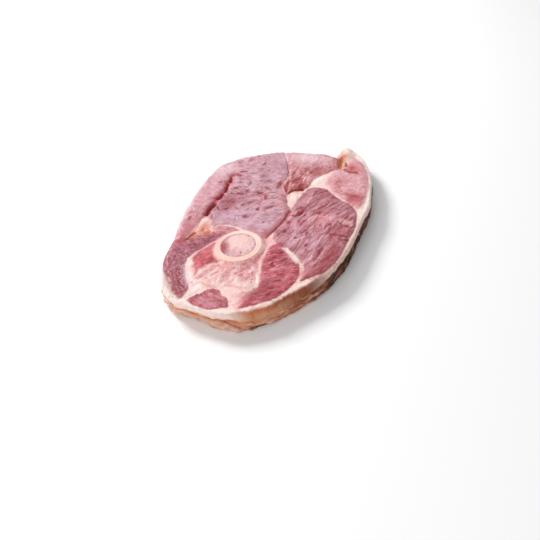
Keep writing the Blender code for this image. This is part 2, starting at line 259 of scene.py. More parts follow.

# %% [markdown]
# ## The colours of raw lamb
# Lean is never one red. Where the knife has cut fresh fibres it is deep red. Where the surface has
# dried it turns mauve, and the mauve and lilac on the far muscles are also painted sheen, where the
# light skims them. Fat is cream; its orange, rust and brown are partly dried skin and partly painted
# shade in its hollows, creases and folds. Each colour is named once here, and everything later mixes
# between them.

# %% Palette
RED = paint(172, 66, 74)
RED_DEEP = paint(122, 30, 40)
WINE = paint(150, 30, 38)
BLOOD = paint(84, 10, 14)
MAUVE_DEEP = paint(142, 74, 90)
MAUVE_PALE = paint(208, 170, 182)
LILAC = paint(204, 168, 186)
ROSE = paint(212, 138, 142)
ROSE_PALE = paint(228, 182, 184)
FADED = paint(224, 196, 203)
CREAM = paint(236, 214, 204)
CREAM_PINK = paint(232, 192, 184)
SEAM_FAT = paint(236, 203, 197)
BAND_FAT = paint(240, 222, 215)
CRIMSON = paint(128, 4, 9)
SCARLET = paint(178, 56, 60)
PEACH = paint(232, 168, 142)
ORANGE = paint(198, 114, 76)
RUST = paint(134, 58, 32)
BROWN = paint(44, 11, 5)
TAN = paint(206, 154, 124)
SALMON = paint(200, 126, 116)
IVORY = paint(238, 193, 182)
print("red in the numbers that light uses:", RED.round(3))

# %% [markdown]
# ## The grain of each muscle
# A muscle is a bundle of fibres, and the knife meets each bundle at its own angle. So each muscle
# carries its own pair of coordinates: u runs along its fibres and v across them. Straight fibres
# need one angle, and the fibres of the long muscle on the fat side bend as they go.

# %% Ways for fibres to run
def straight(degrees):
    """Fibres that all run at one angle from the X axis."""
    along = np.array([math.cos(math.radians(degrees)), math.sin(math.radians(degrees))])
    return lambda plan: (plan @ along, plan @ (-along[1], along[0]))


def bent(middle, lean, bend):
    """Fibres along X that dip more and more away from a middle."""
    def grain(plan):
        x = plan[:, 0] - middle
        return plan[:, 0], plan[:, 1] + lean * x + bend * x**3
    return grain


def fascicles(u, v, seed):
    """Bundles of fibre packed side by side, each tilted its own way: height, and width of gap."""
    column, row = np.floor(u), np.floor(v)
    total, weight = 0, 1e-9
    first, second = np.full(len(u), 9.0), np.full(len(u), 9.0)
    for i in (-1, 0, 1):
        for j in (-1, 0, 1):
            pick = [scatter(column + i, row + j, seed + k) - 0.5 for k in range(5)]
            along = u - (column + i + 0.5 + 0.8 * pick[0])
            across = v - (row + j + 0.5 + 0.8 * pick[1])
            away = np.hypot(along, across)
            share = np.exp(-10 * away**2)
            total = total + share * (pick[2] + 1.4 * pick[3] * along + 2.4 * pick[4] * across)
            weight = weight + share
            second = np.minimum(second, np.maximum(away, first))
            first = np.minimum(first, away)
    return total / weight, second - first


def crinkled(u, v, length, width, seed):
    """Large and small bundles, about -1 to 1, and how far the creases between them gape, 0 to 1."""
    u, v = u / length, v / width
    sway = 0.5 * hills(0.6 * u, 0.6 * v, seed)
    bend = 0.6 * hills(1.1 * u, 0.5 * v, seed + 1)
    large, gap = fascicles(u + sway, v + bend, seed + 2)
    small, _ = fascicles(2.1 * u + sway, 2.3 * v + 2 * bend, seed + 9)
    gape = soft_step(0.24, 0.05, gap) * soft_step(-0.05, 0.4, hills(0.5 * u, 0.8 * v, seed + 17))
    soft = hills(0.9 * u + 5, 0.6 * v, seed + 21)
    return 1.3 * large + 0.5 * small + 0.7 * soft, gape


reach_along, _ = straight(60)(np.array([[10.0, 0.0]]))
print("10 mm along X is", round(float(reach_along[0]), 1), "mm along fibres that run at 60 degrees")

# %% [markdown]
# ## The muscles
# Each muscle gets its outline on the cut face, how much its middle swells above the seams, its
# colours, and its grain: the length, width and height of the ridges that its fibres make. Where
# outlines leave a space between them, the fat below shows, and that is how the seams are made.

# %% List of muscles
PATH_STEP = 1.5


def muscle(outline, swell, soft, tones, grain, bundle, thread, torn=(0, 0, 300)):
    """One muscle: outline, swelling and its reach, edge softness, tones, grain, bundles, threads.

    The tones are the flesh, a paler tone and a deeper tone. Both give random patches; the paler is
    also painted highlight on the crests, and the deeper painted shade in the hollows and along the
    edge. The bundles have a length, a width and a height. The threads, finer still, have a length, a
    width and a strength. torn is the middle and the radius of the part that the knife tore most.
    """
    return {
        "loop": smooth_path(outline, PATH_STEP, closed=True), "swell": swell, "soft": soft,
        "tones": [paint(*tone) for tone in tones], "grain": grain, "bundle": bundle,
        "thread": thread, "torn": torn,
    }


MUSCLES = {
    "topside": muscle(
        ((-15.5, 38.2), (-19, 35.2), (-23, 32), (-27, 28.4), (-22.5, 28), (-20.2, 25), (-19.2, 20),
         (-19.6, 12), (-21, 7), (-22.6, 2), (-22.8, -3.2), (-15, -6), (-5, -7.6), (5, -8.2),
         (10, -7.4), (14, -4.6), (20, -1.4), (26, 0), (34, 5), (45, 6.4), (54, 9.4), (62, 13.4),
         (70, 18), (84, 22), (80, 40), (60, 62), (20, 66), (-16, 62), (-16, 42)),
        (0.9, 1.7), 0.5, ((193, 149, 160), (219, 187, 195), (138, 56, 70)),
        straight(-70), (4.4, 2.2, 0.3), (4.6, 1.1, 0.62), (16, 20, 20)),
    "adductor": muscle(
        ((26.4, -0.6), (34, 4.8), (45, 6.4), (54, 9.4), (62, 13.4), (70, 17.8), (90, 24), (98, -6),
         (86, -16), (79, -18.5), (72, -20.5), (66, -22.4), (60, -18.6), (54, -14.8), (49, -12.4),
         (42, -10.6), (35, -9.6), (31.5, -7), (29.5, -3.4)),
        (0.8, 1.7), 0.5, ((190, 120, 124), (224, 184, 192), (138, 46, 48)),
        straight(-6), (4.4, 2.4, 0.26), (3.4, 1.2, 0.4), (42, -3, 15)),
    "silverside": muscle(
        ((-25.5, -12), (-23.6, -9.2), (-19, -7), (-14, -6.9), (-9, -7.8), (5, -8.6), (12, -8.9),
         (30, -10), (36, -11.6),
         (39.4, -15.5), (39.6, -20), (37.5, -25), (34, -30), (31, -34), (29.5, -39), (27, -43.5),
         (21, -48), (12, -50.3), (-4, -51), (-20, -50.6), (-32, -49), (-40, -46), (-45.5, -41.5),
         (-51.5, -36.6), (-45, -35.4), (-41, -34.6), (-37, -31.4), (-32, -25), (-28.5, -19.5),
         (-26, -16)),
        (0.9, 1.7), 0.45, ((182, 116, 128), (214, 168, 178), (114, 28, 42)),
        bent(-8, 0.12, 0.00009), (9.0, 2.0, 0.24), (9.0, 1.3, 0.45), (4, -30, 40)),
    "eye": muscle(
        ((28, -43), (31, -38.5), (35, -32), (40, -25.4), (43.5, -21.6), (50, -19.6), (57, -20),
         (63, -22.4), (66, -24.6), (70, -25.8), (76, -26.5), (81.5, -28.5), (79, -35), (72, -40),
         (62, -44.6), (50, -47.6), (40, -48.6), (30, -49), (26.5, -47)),
        (0.7, 2.0), 1.8, ((212, 154, 160), (228, 188, 192), (182, 98, 104)),
        straight(-25), (6.0, 3.2, 0.1), (5.0, 1.3, 0.5)),
    "outer_thigh": muscle(
        ((-84.5, -12.6), (-80, -11.4), (-75, -10.8), (-71.6, -10.4), (-69.6, -14), (-66, -15.4),
         (-60, -14.8), (-54, -13.2), (-48, -11.2), (-40, -9.8), (-33, -9.2), (-28.6, -9.4),
         (-25.8, -12), (-24.6, -16), (-27, -18.4), (-29.6, -20), (-33.5, -25.2), (-37.4, -29.6),
         (-42, -32.4), (-48, -33.8), (-55, -33.6), (-61.5, -32), (-68.5, -28.4), (-75.5, -22.6),
         (-81, -17)),
        (0.7, 1.6), 0.5, ((190, 80, 96), (228, 162, 172), (108, 8, 24)),
        straight(-52), (4.4, 1.8, 0.34), (6.0, 1.4, 0.7), (-38, -22, 14)),
    "inner_thigh": muscle(
        ((-74.5, 18), (-75, 10), (-73.4, 4), (-70, -1), (-69, -8), (-67, -12.6), (-61, -12.8),
         (-52, -10.6), (-44, -9.2), (-36, -8.6), (-29.5, -8.2), (-27.6, -6), (-24, 0), (-24, 14),
         (-34, 21.5), (-44, 24), (-54, 27.5), (-62, 27.5), (-69, 24.5)),
        (0.3, 2.5), 2.0, ((218, 154, 155), (236, 198, 197), (188, 88, 94)),
        straight(-24), (4.0, 3.0, 0.1), (3.4, 1.2, 0.5)),
    "red_thigh": muscle(
        ((-68.6, 20.8), (-65, 22.8), (-60.6, 25.4), (-56.6, 28.6), (-47, 27.4), (-41, 24.2), (-37, 22),
         (-44, 20.6), (-49, 18), (-51.6, 14), (-54, 13.6), (-56, 16.4), (-60, 19.4), (-65, 20.6)),
        (0.3, 2.0), 1.0, ((190, 72, 84), (222, 138, 144), (136, 22, 34)),
        straight(-20), (5.0, 1.7, 0.12), (4.4, 1.2, 0.55)),
    "front_thigh": muscle(
        ((-88.4, 20.6), (-86, 24.6), (-80.5, 30), (-74.5, 35.6), (-70.4, 40.6), (-68, 47),
         (-44, 52), (-41, 42.5), (-39, 39), (-34.5, 35.4), (-31, 31), (-28.6, 27.6), (-25, 21.4),
         (-23.2, 16.6), (-24, 12.6), (-28, 16), (-34, 21.2), (-40, 24.4), (-46, 27.4),
         (-52, 30), (-58, 30.6), (-63, 29.6), (-68, 27.6), (-72, 24.6), (-76, 21.6), (-82, 19)),
        (0.6, 2.0), 1.1, ((160, 78, 94), (208, 152, 166), (96, 14, 30)),
        straight(55), (4.4, 1.5, 0.14), (3.6, 1.2, 0.45), (-78, 28, 12)),
    "tip": muscle(
        ((-91.4, 8), (-90.4, 12), (-87.6, 16), (-84.6, 14.6), (-80.6, 11.4), (-76.2, 9), (-75, 5.4),
         (-75.4, 2), (-78.6, 0), (-78.6, -3), (-82.6, -5.8), (-86, -7), (-86.6, -4.6),
         (-89.6, -0.6), (-91.4, 4)),
        (0.5, 1.6), 0.35, ((186, 92, 102), (216, 150, 158), (122, 28, 40)),
        straight(64), (5.0, 1.6, 0.14), (3.4, 0.9, 0.8)),
    "sliver": muscle(
        ((-29.5, 28.6), (-24.6, 28), (-21.6, 26.8), (-20.4, 22), (-20.6, 15.6), (-22, 12.6),
         (-24.6, 14.4), (-26.8, 19)),
        (0.4, 2.0), 0.5, ((192, 116, 124), (216, 162, 166), (142, 48, 54)),
        straight(-75), (5.0, 2.0, 0.2), (3.4, 1.1, 0.5)),
    "edge_strip": muscle(
        ((-42, 47), (-41.5, 42.5), (-37, 40.8), (-28, 40.4), (-15, 39.6), (-5, 39.2), (6, 38.6),
         (16, 39), (26, 40.4), (33, 43), (38, 47), (42, 60), (0, 66), (-46, 60)),
        (0.8, 3.0), 0.7, ((202, 150, 160), (226, 196, 202), (172, 84, 92)),
        straight(70), (5.0, 3.0, 0.08), (3.0, 1.2, 0.5)),
}
print(len(MUSCLES), "muscles:", ", ".join(MUSCLES))

# %% [markdown]
# ## Seams, cracks and streaks
# Some features follow a line: the deep crack beside the edge strip, the dark crease between the two
# largest muscles, and the thick white seams of fat. The crimson of the crack and the crease, and the
# red beside them, are partly the meat's own red and partly painted shade. Each is a path with a half
# width, a change of height in millimetres and a colour with its strength.

# %% List of strokes
STROKES = (
    # half width, height, colour, strength, path
    # The crack: a red halo and crimson gashes, partly the meat's own red and partly painted shade.
    (2.2, -0.5, SCARLET, 0.85, ((-15, 39.2), (-8, 39.6), (2, 39.4), (10, 38.6), (22, 39.8), (31, 41))),
    (1.2, -1.5, CRIMSON, 1.0, ((-14, 38.4), (-9, 38.8), (-3, 38.5))),
    (0.9, -1.1, CRIMSON, 1.0, ((2.6, 38.7), (5.5, 38.3), (9.0, 37.9))),
    (0.8, -1.0, CRIMSON, 1.0, ((11.8, 38.1), (16, 38.4), (20.6, 39.2))),
    (1.0, -1.2, CRIMSON, 0.9, ((24.2, 39.4), (27, 40.2), (29.4, 41))),
    (1.3, -0.7, WINE, 0.85, ((32.6, 40.4), (34.6, 38), (33.6, 35.6))),
    (1.0, -0.5, WINE, 0.65, ((37.4, 36.8), (38.6, 34))),
    (0.7, -1.2, CRIMSON, 1.0, ((-41, 39.6), (-36, 38.6), (-33, 37.6))),
    (0.5, -0.2, ORANGE, 0.5, ((-33, 38.4), (-24, 39.6), (-15.6, 39.2))),
    # The crease below the topside: a red edge and a crimson line, partly painted shade.
    (1.7, -0.1, RED, 0.6, ((-22, -2.6), (-15, -5), (-5, -6.8), (7, -7.6))),
    (0.55, -0.4, CRIMSON, 0.85, ((-22.5, -3.8), (-15, -6), (-5, -7.8), (8, -8.5))),
    (0.45, -0.4, MAUVE_DEEP, 0.6, ((8, -8.8), (20, -9.4), (31, -10.2))),
    (1.7, 0.5, CREAM, 1.0, ((-28.4, -19), (-30.4, -21.2), (-33.4, -25), (-36.6, -29))),
    (0.6, 0.2, CREAM_PINK, 0.9, ((-36.6, -29), (-41, -32.6), (-47, -34.6), (-53, -36.2))),
    (0.35, -0.2, RED_DEEP, 0.6, ((-20, -37), (-12, -36.4), (-4, -37.6), (4, -36.8))),
    (0.35, -0.2, RED_DEEP, 0.6, ((-29, -38.6), (-24, -39.2), (-16, -41.4))),
    (0.35, 0.1, ROSE_PALE, 0.6, ((-28, -39.8), (-20, -40.6), (-12, -42.2))),
    (0.4, 0.15, ROSE_PALE, 0.5, ((-30, -35.4), (-20, -34.8), (-8, -35.4))),
    (0.9, 0.25, BAND_FAT, 1.0, ((-71, -8), (-69.6, -12.4), (-66.4, -14.6), (-61, -14.2), (-56, -12.8))),
    (0.55, 0.2, CREAM_PINK, 0.9, ((-56, -12.8), (-50, -10.8), (-44, -9.4), (-36, -8.6), (-29, -8.2))),
    (1.5, 0.15, CREAM, 0.9, ((-73.6, 19.6), (-67.6, 24.6), (-61.6, 27.4), (-57, 29))),
    (0.5, 0.15, ROSE_PALE, 0.6, ((-59, 29.4), (-56, 29.6), (-53, 29.2))),
    (0.45, 0.1, ROSE_PALE, 0.6, ((-53, 29.2), (-46, 27), (-40, 24), (-34, 20.8), (-28.6, 16.6))),
    (0.45, 0.15, CREAM_PINK, 0.9, ((-27.4, 28.6), (-22, 28), (-19.8, 24), (-19.6, 16), (-20.6, 9))),
    (0.4, -0.1, WINE, 0.6, ((43, 5.2), (49, 7.6), (55, 10), (61, 13), (68, 17.2))),
    (0.9, 0.3, ROSE_PALE, 0.6, ((22, -1.4), (26, 1.8), (31, 4.8), (38, 5.6))),
    (1.1, -0.6, WINE, 1.0, ((28, 1.2), (33, 3), (38, 3.6))),
    (0.7, 0.2, SALMON, 0.5, ((27, -0.2), (32, 0.6), (37, 1.4))),
    (0.6, -0.7, CRIMSON, 0.9, ((25.4, -1), (29.6, -2.2), (32.4, -5), (33.6, -9))),
    (1.3, -0.6, WINE, 0.95, ((65.4, -27), (64.6, -31), (65, -35.6))),
    # Painted shade: orange and rust in the fold beside the nub.
    (1.2, -0.3, ORANGE, 0.95, ((66.6, -23.2), (72, -21.6), (78, -20.2))),
    (0.5, -0.6, RUST, 1.0, ((70.4, -26), (73, -25.8), (75.4, -25.2))),
    (0.7, -0.5, WINE, 0.8, ((3.4, -10), (3.7, -13), (6, -15.6), (9, -16.9), (11.6, -16.4))),
    (0.85, -0.7, CRIMSON, 0.75, ((-5.7, -39.6), (-5.2, -43), (-4.2, -49.6))),
    (0.6, -0.7, CRIMSON, 0.7, ((7.6, -39.8), (6.2, -43), (5.2, -45.6), (4.8, -49.4))),
    (0.5, -0.5, RED_DEEP, 0.6, ((-9.2, -45.6), (-8, -50.6))),
    (1.8, 0.0, ROSE, 0.6, ((-84.5, -12.8), (-79, -11.4), (-72, -10.6))),
    (0.6, 0.1, CREAM_PINK, 0.5, ((-5, -25.4), (-2.6, -26.4), (-0.6, -27))),
    (0.55, 0.15, ROSE_PALE, 0.75, ((-0.4, -24.4), (2.4, -22.6), (5, -23), (7.6, -25.4), (9, -30))),
    (0.45, 0.2, ROSE, 0.75, ((-69.6, -14), (-68.8, -18), (-66.6, -22.4), (-63.4, -26))),
    (0.4, 0.1, ROSE, 0.5, ((-57.6, -21.4), (-55.4, -23.6), (-53.8, -27))),
    (0.4, 0.1, ROSE, 0.5, ((-73.6, -13), (-73.2, -18), (-71.6, -21.6))),
    (0.8, 0.15, SEAM_FAT, 0.7, ((-77, 18.6), (-70, 15.8), (-64, 12.8), (-58, 11))),
    (0.8, 0.15, SEAM_FAT, 0.7, ((-75, 14.6), (-68, 12), (-62, 8.4))),
    (0.8, 0.15, SEAM_FAT, 0.6, ((-71, 20.6), (-63, 17.6), (-56, 15.6))),
    (0.8, 0.15, SEAM_FAT, 0.6, ((-72, 8), (-66, 6), (-59, 6.6))),
    (0.8, 0.15, SEAM_FAT, 0.6, ((-70, 2.6), (-63, 0.6), (-57, 2.2))),
    (0.8, 0.15, SEAM_FAT, 0.6, ((-66, -2.6), (-60, -1.6), (-54, -4.6))),
    (0.3, -0.3, MAUVE_DEEP, 0.7, ((-17, 18.8), (-13, 19.6), (-9, 21))),
    (0.3, -0.3, MAUVE_DEEP, 0.6, ((-1, 16.6), (1, 16.4), (3.4, 16.8))),
    (0.5, 0.2, ROSE_PALE, 0.6, ((19, -16), (24, -16.7), (30, -16))),
    (0.45, 0.1, CREAM_PINK, 0.45, ((44.6, -31), (45.4, -38), (44.6, -46))),
    (0.45, 0.1, CREAM_PINK, 0.4, ((50, -42.6), (55, -39.6), (61, -37))),
)

# %% [markdown]
# ## Stains, hollows and pits
# The rest are spots. Most dark spots that sink are hollows, painted darker red as shade. Pale ones that
# rise are fat just under the surface, and the pale lilac and faded patches on the far muscles are
# partly a dried film and partly painted sheen. The pits are the small holes that the knife leaves, most
# of them in the largest muscle. Each spot is an ellipse with its half length, half width, turn, change
# of height, colour and strength. A pit needs no colour of its own, only how deep it goes: every pit is
# darkened alike, as painted shade.

# %% List of spots
SPOTS = (
    # x, y, half length, half width, turn, height, colour, strength
    # Painted shadow of the crack: darker mauve and wine on the topside beside it.
    (0, 31, 12, 6.4, 0, -0.2, MAUVE_DEEP, 0.9),
    (2, 30, 8, 4, 0, 0, WINE, 0.5),
    (7, 18, 7, 4, -50, 0, MAUVE_DEEP, 0.3),
    (18, 20, 3, 9, 10, 0, MAUVE_DEEP, 0.25),
    (21, -1, 7, 2.4, 25, 0, RED, 0.35),
    (-20, -2.4, 3, 2.6, 0, 0, RED, 0.5),
    (26, 21, 6, 4, 0, 0, MAUVE_PALE, 0.25),
    (-20, 6, 3.4, 4, 0, 0, RED, 0.4),
    (-6, -5.4, 19, 1.8, -6, 0, ROSE, 0.45),
    (14, 0, 8, 3, 25, 0, ROSE, 0.4),
    # Partly a dried film and partly painted sheen: pale lilac on the topside.
    (-9, 16, 10, 14, 0, 0, LILAC, 0.5),
    (50, 21, 22, 11, 15, 0, MAUVE_DEEP, 0.2),
    (21.5, 12.4, 3.4, 1.2, -20, 0.2, ROSE_PALE, 0.6),
    (12, 14, 9, 7, 0, 0, ROSE, 0.25),
    # Partly a dried film and partly painted sheen: lilac and faded patches towards the far side.
    (40, 15, 9, 4, 10, 0, LILAC, 0.4),
    (36, 48, 11, 5, 0, 0, FADED, 0.7),
    (-32, 44, 9, 4, -6, 0, RED, 0.3),
    (48.6, 42, 3.2, 1.7, -50, -0.5, WINE, 0.6),
    (54, 35.6, 2.8, 1.9, -30, -0.5, WINE, 0.6),
    (52.4, 26, 2.4, 1.0, -10, -0.5, RED_DEEP, 0.65),
    (46, 20.2, 1.8, 0.5, 8, -0.3, RED_DEEP, 0.5),
    (27, 26.2, 2.2, 0.9, 0, -0.4, MAUVE_DEEP, 0.8),
    (34, 15, 2.4, 2.0, 30, -0.5, MAUVE_DEEP, 0.7),
    (25, 13, 2.6, 1.0, 80, -0.4, MAUVE_DEEP, 0.7),
    (33, 7.2, 4.4, 1.5, 4, -0.5, WINE, 0.85),
    (33, 8, 6.5, 2.6, 4, 0, RED, 0.35),
    (36, -5.6, 6.4, 3.6, -10, -0.5, WINE, 0.85),
    (35.6, -6.4, 4, 2.6, -10, 0, CRIMSON, 0.7),
    (31, -4.4, 1.6, 3, 30, 0, RUST, 0.5),
    (44, -8.6, 8, 1.2, -6, 0.1, ORANGE, 0.35),
    (36, -1, 3.0, 1.4, 0, 0.2, ROSE_PALE, 0.5),
    (43, -0.6, 7, 3.4, 10, -0.4, WINE, 0.65),
    (49, 3.2, 3.0, 1.2, -10, -0.5, RED_DEEP, 0.6),
    (46, -7, 4.0, 1.6, -20, 0.2, ROSE_PALE, 0.5),
    (57, -9.6, 7, 4.6, 30, -0.3, WINE, 0.6),
    (63, -15, 5.5, 2.6, -30, -0.2, RED, 0.3),
    # Partly a dried film and partly painted sheen: a faded patch on the far end of the adductor.
    (70, 2, 9, 17, 10, 0, FADED, 0.5),
    (12.8, -14.8, 1.9, 3, 0, -0.5, CRIMSON, 0.65),
    (8, -15.4, 3.4, 1.6, -20, -0.2, WINE, 0.5),
    (-1, -19.6, 5, 2.2, -15, -0.2, WINE, 0.5),
    (18, -18, 4, 1.2, -10, -0.2, RED_DEEP, 0.5),
    (33, -24, 5, 4, 0, 0, WINE, 0.3),
    (31, -31, 1.3, 3.4, 15, -0.2, RED_DEEP, 0.55),
    (-27, -38.6, 5, 0.9, -5, -0.2, CRIMSON, 0.5),
    (-27, -44, 8, 3.2, 0, 0, WINE, 0.4),
    # Partly painted sheen: pale mauve streaks on the silverside.
    (-17, -20, 8, 2.2, -5, 0.1, MAUVE_PALE, 0.45),
    (-15, -32, 8, 2.4, 0, 0.1, MAUVE_PALE, 0.5),
    (26, -16, 5, 1.4, -8, 0.1, MAUVE_PALE, 0.5),
    (10, -35.6, 5, 1.0, -10, 0.1, ROSE_PALE, 0.4),
    (20, -12, 12, 1.6, -4, 0, ROSE, 0.2),
    (4, -29, 6, 6.5, 0, 0.1, ROSE, 0.5),
    (0, -31, 1.4, 0.9, 0, -0.3, RED_DEEP, 0.6),
    (0.4, -25, 1.0, 0.8, 0, -0.2, RED, 0.6),
    (9.2, -33.8, 1.6, 1.2, 0, 0.1, CREAM_PINK, 0.6),
    (9.4, -42, 2.8, 1.8, -40, 0.3, CREAM_PINK, 1.0),
    (8.4, -45.8, 3.6, 2.2, -74, 0.2, ROSE_PALE, 1.0),
    (13.6, -46.4, 1.4, 4.4, 10, -0.3, RED, 0.6),
    (32, -22, 6, 8, -10, 0, RED_DEEP, 0.3),
    (8, -30, 16, 4, 10, 0, ROSE, 0.3),
    (-43, -39, 9, 4.5, -40, 0, WINE, 0.45),
    (-46, -35.4, 6, 1.8, -30, 0, ROSE, 0.6),
    (-28, -45.4, 17, 4.4, -10, 0, WINE, 0.55),
    (-2, -43, 18, 6, 0, 0, WINE, 0.5),
    (38, -39.6, 2.2, 6, 0, -0.1, WINE, 0.7),
    (59, -24, 6, 4, -10, 0, MAUVE_PALE, 0.6),
    (54, -38, 9, 4, -10, 0, MAUVE_PALE, 0.35),
    (35, -42, 6, 5, 0, 0, RED, 0.85),
    (37, -45, 5, 2.6, 0, 0, RED, 0.25),
    (50, -28, 3.4, 2.4, 0, -0.1, WINE, 0.45),
    (40.5, -29, 2.4, 2.4, 0, 0, RED, 0.25),
    (69, -31, 5, 4.6, 10, -0.2, RED, 0.9),
    (48, -14.6, 7, 3.0, -18, 0.4, BAND_FAT, 0.8),
    (-74, -15, 8, 4, -50, 0, RED, 0.35),
    (-62, -19, 6, 3, -10, 0, RED_DEEP, 0.4),
    (-26, -14.6, 2.4, 2.6, 0, 0, RED_DEEP, 0.5),
    (-85, 22.5, 3.0, 2.4, 40, 0, RED, 0.4),
    (-80, 26, 7, 4.4, 40, 0, CRIMSON, 0.35),
    (-74, 14, 1.6, 5, -15, 0.2, CREAM, 0.8),
    (-71.5, 4, 2.2, 6, -5, 0.1, BAND_FAT, 0.5),
    (-66, -12, 8, 3.4, 0, 0.1, SEAM_FAT, 0.8),
    (-33, 25.2, 1.5, 1.0, 20, -0.3, RED_DEEP, 0.7),
    (-53.4, 17, 2.2, 2.4, 0, 0, RED_DEEP, 0.55),
    (-73.6, 12.6, 1.1, 3, -10, -0.1, ORANGE, 0.7),
    (-74.6, 19.4, 1.0, 0.7, 20, -0.2, WINE, 0.6),
    (-65, 25.4, 4, 1.4, 32, 0, PEACH, 0.5),
    # Painted shade: a dark crimson line along the upper edge of the tip muscle.
    (-83, 11.4, 5, 1.3, -38, -0.1, CRIMSON, 0.7),
    (-77, 5.6, 1.6, 3.4, 0, -0.1, CRIMSON, 0.5),
    (-83, -3.4, 3, 3, 20, 0, CRIMSON, 0.3),
    (-86, 5, 1.6, 6, -14, 0, MAUVE_PALE, 0.35),
    (-73, -4, 5.5, 5, 50, 0.1, ROSE_PALE, 0.5),
    # Partly a dried film and partly painted sheen: lilac and faded patches on the far muscles.
    (64.6, 15.2, 6.5, 1.5, -153, 0.35, LILAC, 0.65),
    (71, 1, 11, 5, -75, 0.1, FADED, 0.45),
    (59, 39, 14, 4.5, -50, 0.1, FADED, 0.4),
    (-79, -9.6, 6, 1.2, -8, 0.1, CREAM_PINK, 0.7),
    (-79, 15.6, 6.5, 1.8, -30, 0.3, BAND_FAT, 0.7),
    (-77, 30, 12, 5.6, 42, 0, CRIMSON, 0.55),
    (-66, 16, 4.5, 1.6, -25, 0, RED, 0.4),
    (-63, 4, 4.2, 2.4, -20, -0.2, RED, 0.5),
    (-57, -2, 3.6, 3.0, 0, -0.2, RED, 0.4),
    (-63, -6.6, 4.2, 1.8, -5, 0, RED, 0.35),
    (-48, -4.6, 7, 2.6, -20, 0, RED, 0.6),
    (-38, -7, 7, 1.3, 0, 0, RED, 0.4),
    (-54.6, 8, 1.6, 6, 0, 0, PEACH, 0.6),
    (-72, 23.4, 8, 2.4, 38, 0, FADED, 0.75),
    (-70, -19, 10, 6, -60, 0, CRIMSON, 0.6),
    (-62, -22, 10, 6, -30, 0, CRIMSON, 0.3),
    (-34, -18, 5, 6, -60, 0, CRIMSON, 0.15),
    (-48, -14, 7, 2.6, -10, 0, CRIMSON, 0.15),
    (22, -6, 5, 3, 20, 0.5, CREAM, 0.3),
    (-26, -8.4, 3.4, 2.2, 0, 0, ROSE_PALE, 0.7),
    (50, -27, 7, 5, 0, 0, RED, 0.25),
    (-25, -3, 4.4, 8, 12, 0, ROSE, 0.7),
    (-23.6, 3, 2.6, 6, 6, 0, MAUVE_DEEP, 0.35),
    (-50, 3, 8, 6, 0, 0, RED, 0.25),
    (-28.7, 34, 1.7, 0.9, 60, -0.7, CRIMSON, 0.95),
    (-30.4, 29.8, 2.6, 1.4, -45, -0.8, CRIMSON, 1.0),
    (-30, 32.5, 3.4, 4.4, 20, -0.2, ORANGE, 0.8),
    (-33, 35.6, 5, 3.6, -40, 0, ORANGE, 0.5),
    (-26, 35, 7, 4, 30, 0, SALMON, 0.9),
    (-25, 34, 5, 3, 20, 0, ORANGE, 0.25),
    (-21, 38, 4.4, 1.4, 0, 0.1, CREAM, 0.6),
    (-36, 41.4, 6, 1.8, -8, 0, RED, 0.5),
    (-43, 41.4, 3.6, 2.6, -55, -0.4, WINE, 0.95),
    (-46, 44, 4, 2, -30, 0, RED, 0.5),
    (-37, 37.6, 5, 1.4, -25, 0, ORANGE, 0.9),
    (-22, 46.4, 2.0, 1.2, 0, -0.6, WINE, 0.75),
    (-26, 44, 14, 4, 5, 0, RED, 0.3),
    (20, 44.6, 1.6, 1.0, -40, -0.4, WINE, 0.5),
    (-40, 44.6, 3.4, 2.2, 0, 0, RED, 0.4),
    # Painted shade: orange and rust in the fold under the nub.
    (74.6, -21.4, 9, 2.4, 14, -0.1, ORANGE, 1.0),
    (70, -22.6, 5, 1.4, 14, -0.1, RUST, 0.7),
    (77, -20.4, 6, 1.4, 14, 0, RUST, 0.65),
    (80.6, -21.6, 4, 2.4, -60, -0.2, ORANGE, 0.9),
    (78.6, -20.6, 2.6, 1.4, 14, -0.2, RUST, 0.3),
    (77, -21.6, 6, 2.2, 14, 0, RUST, 0.4),
    (84, -20, 3.4, 2.0, 10, 0, PEACH, 0.5),
    (71.6, -24.4, 3.6, 0.7, 10, 0.3, PEACH, 0.8),
    (88, -24, 5, 4, 40, 0, BAND_FAT, 0.8),
)
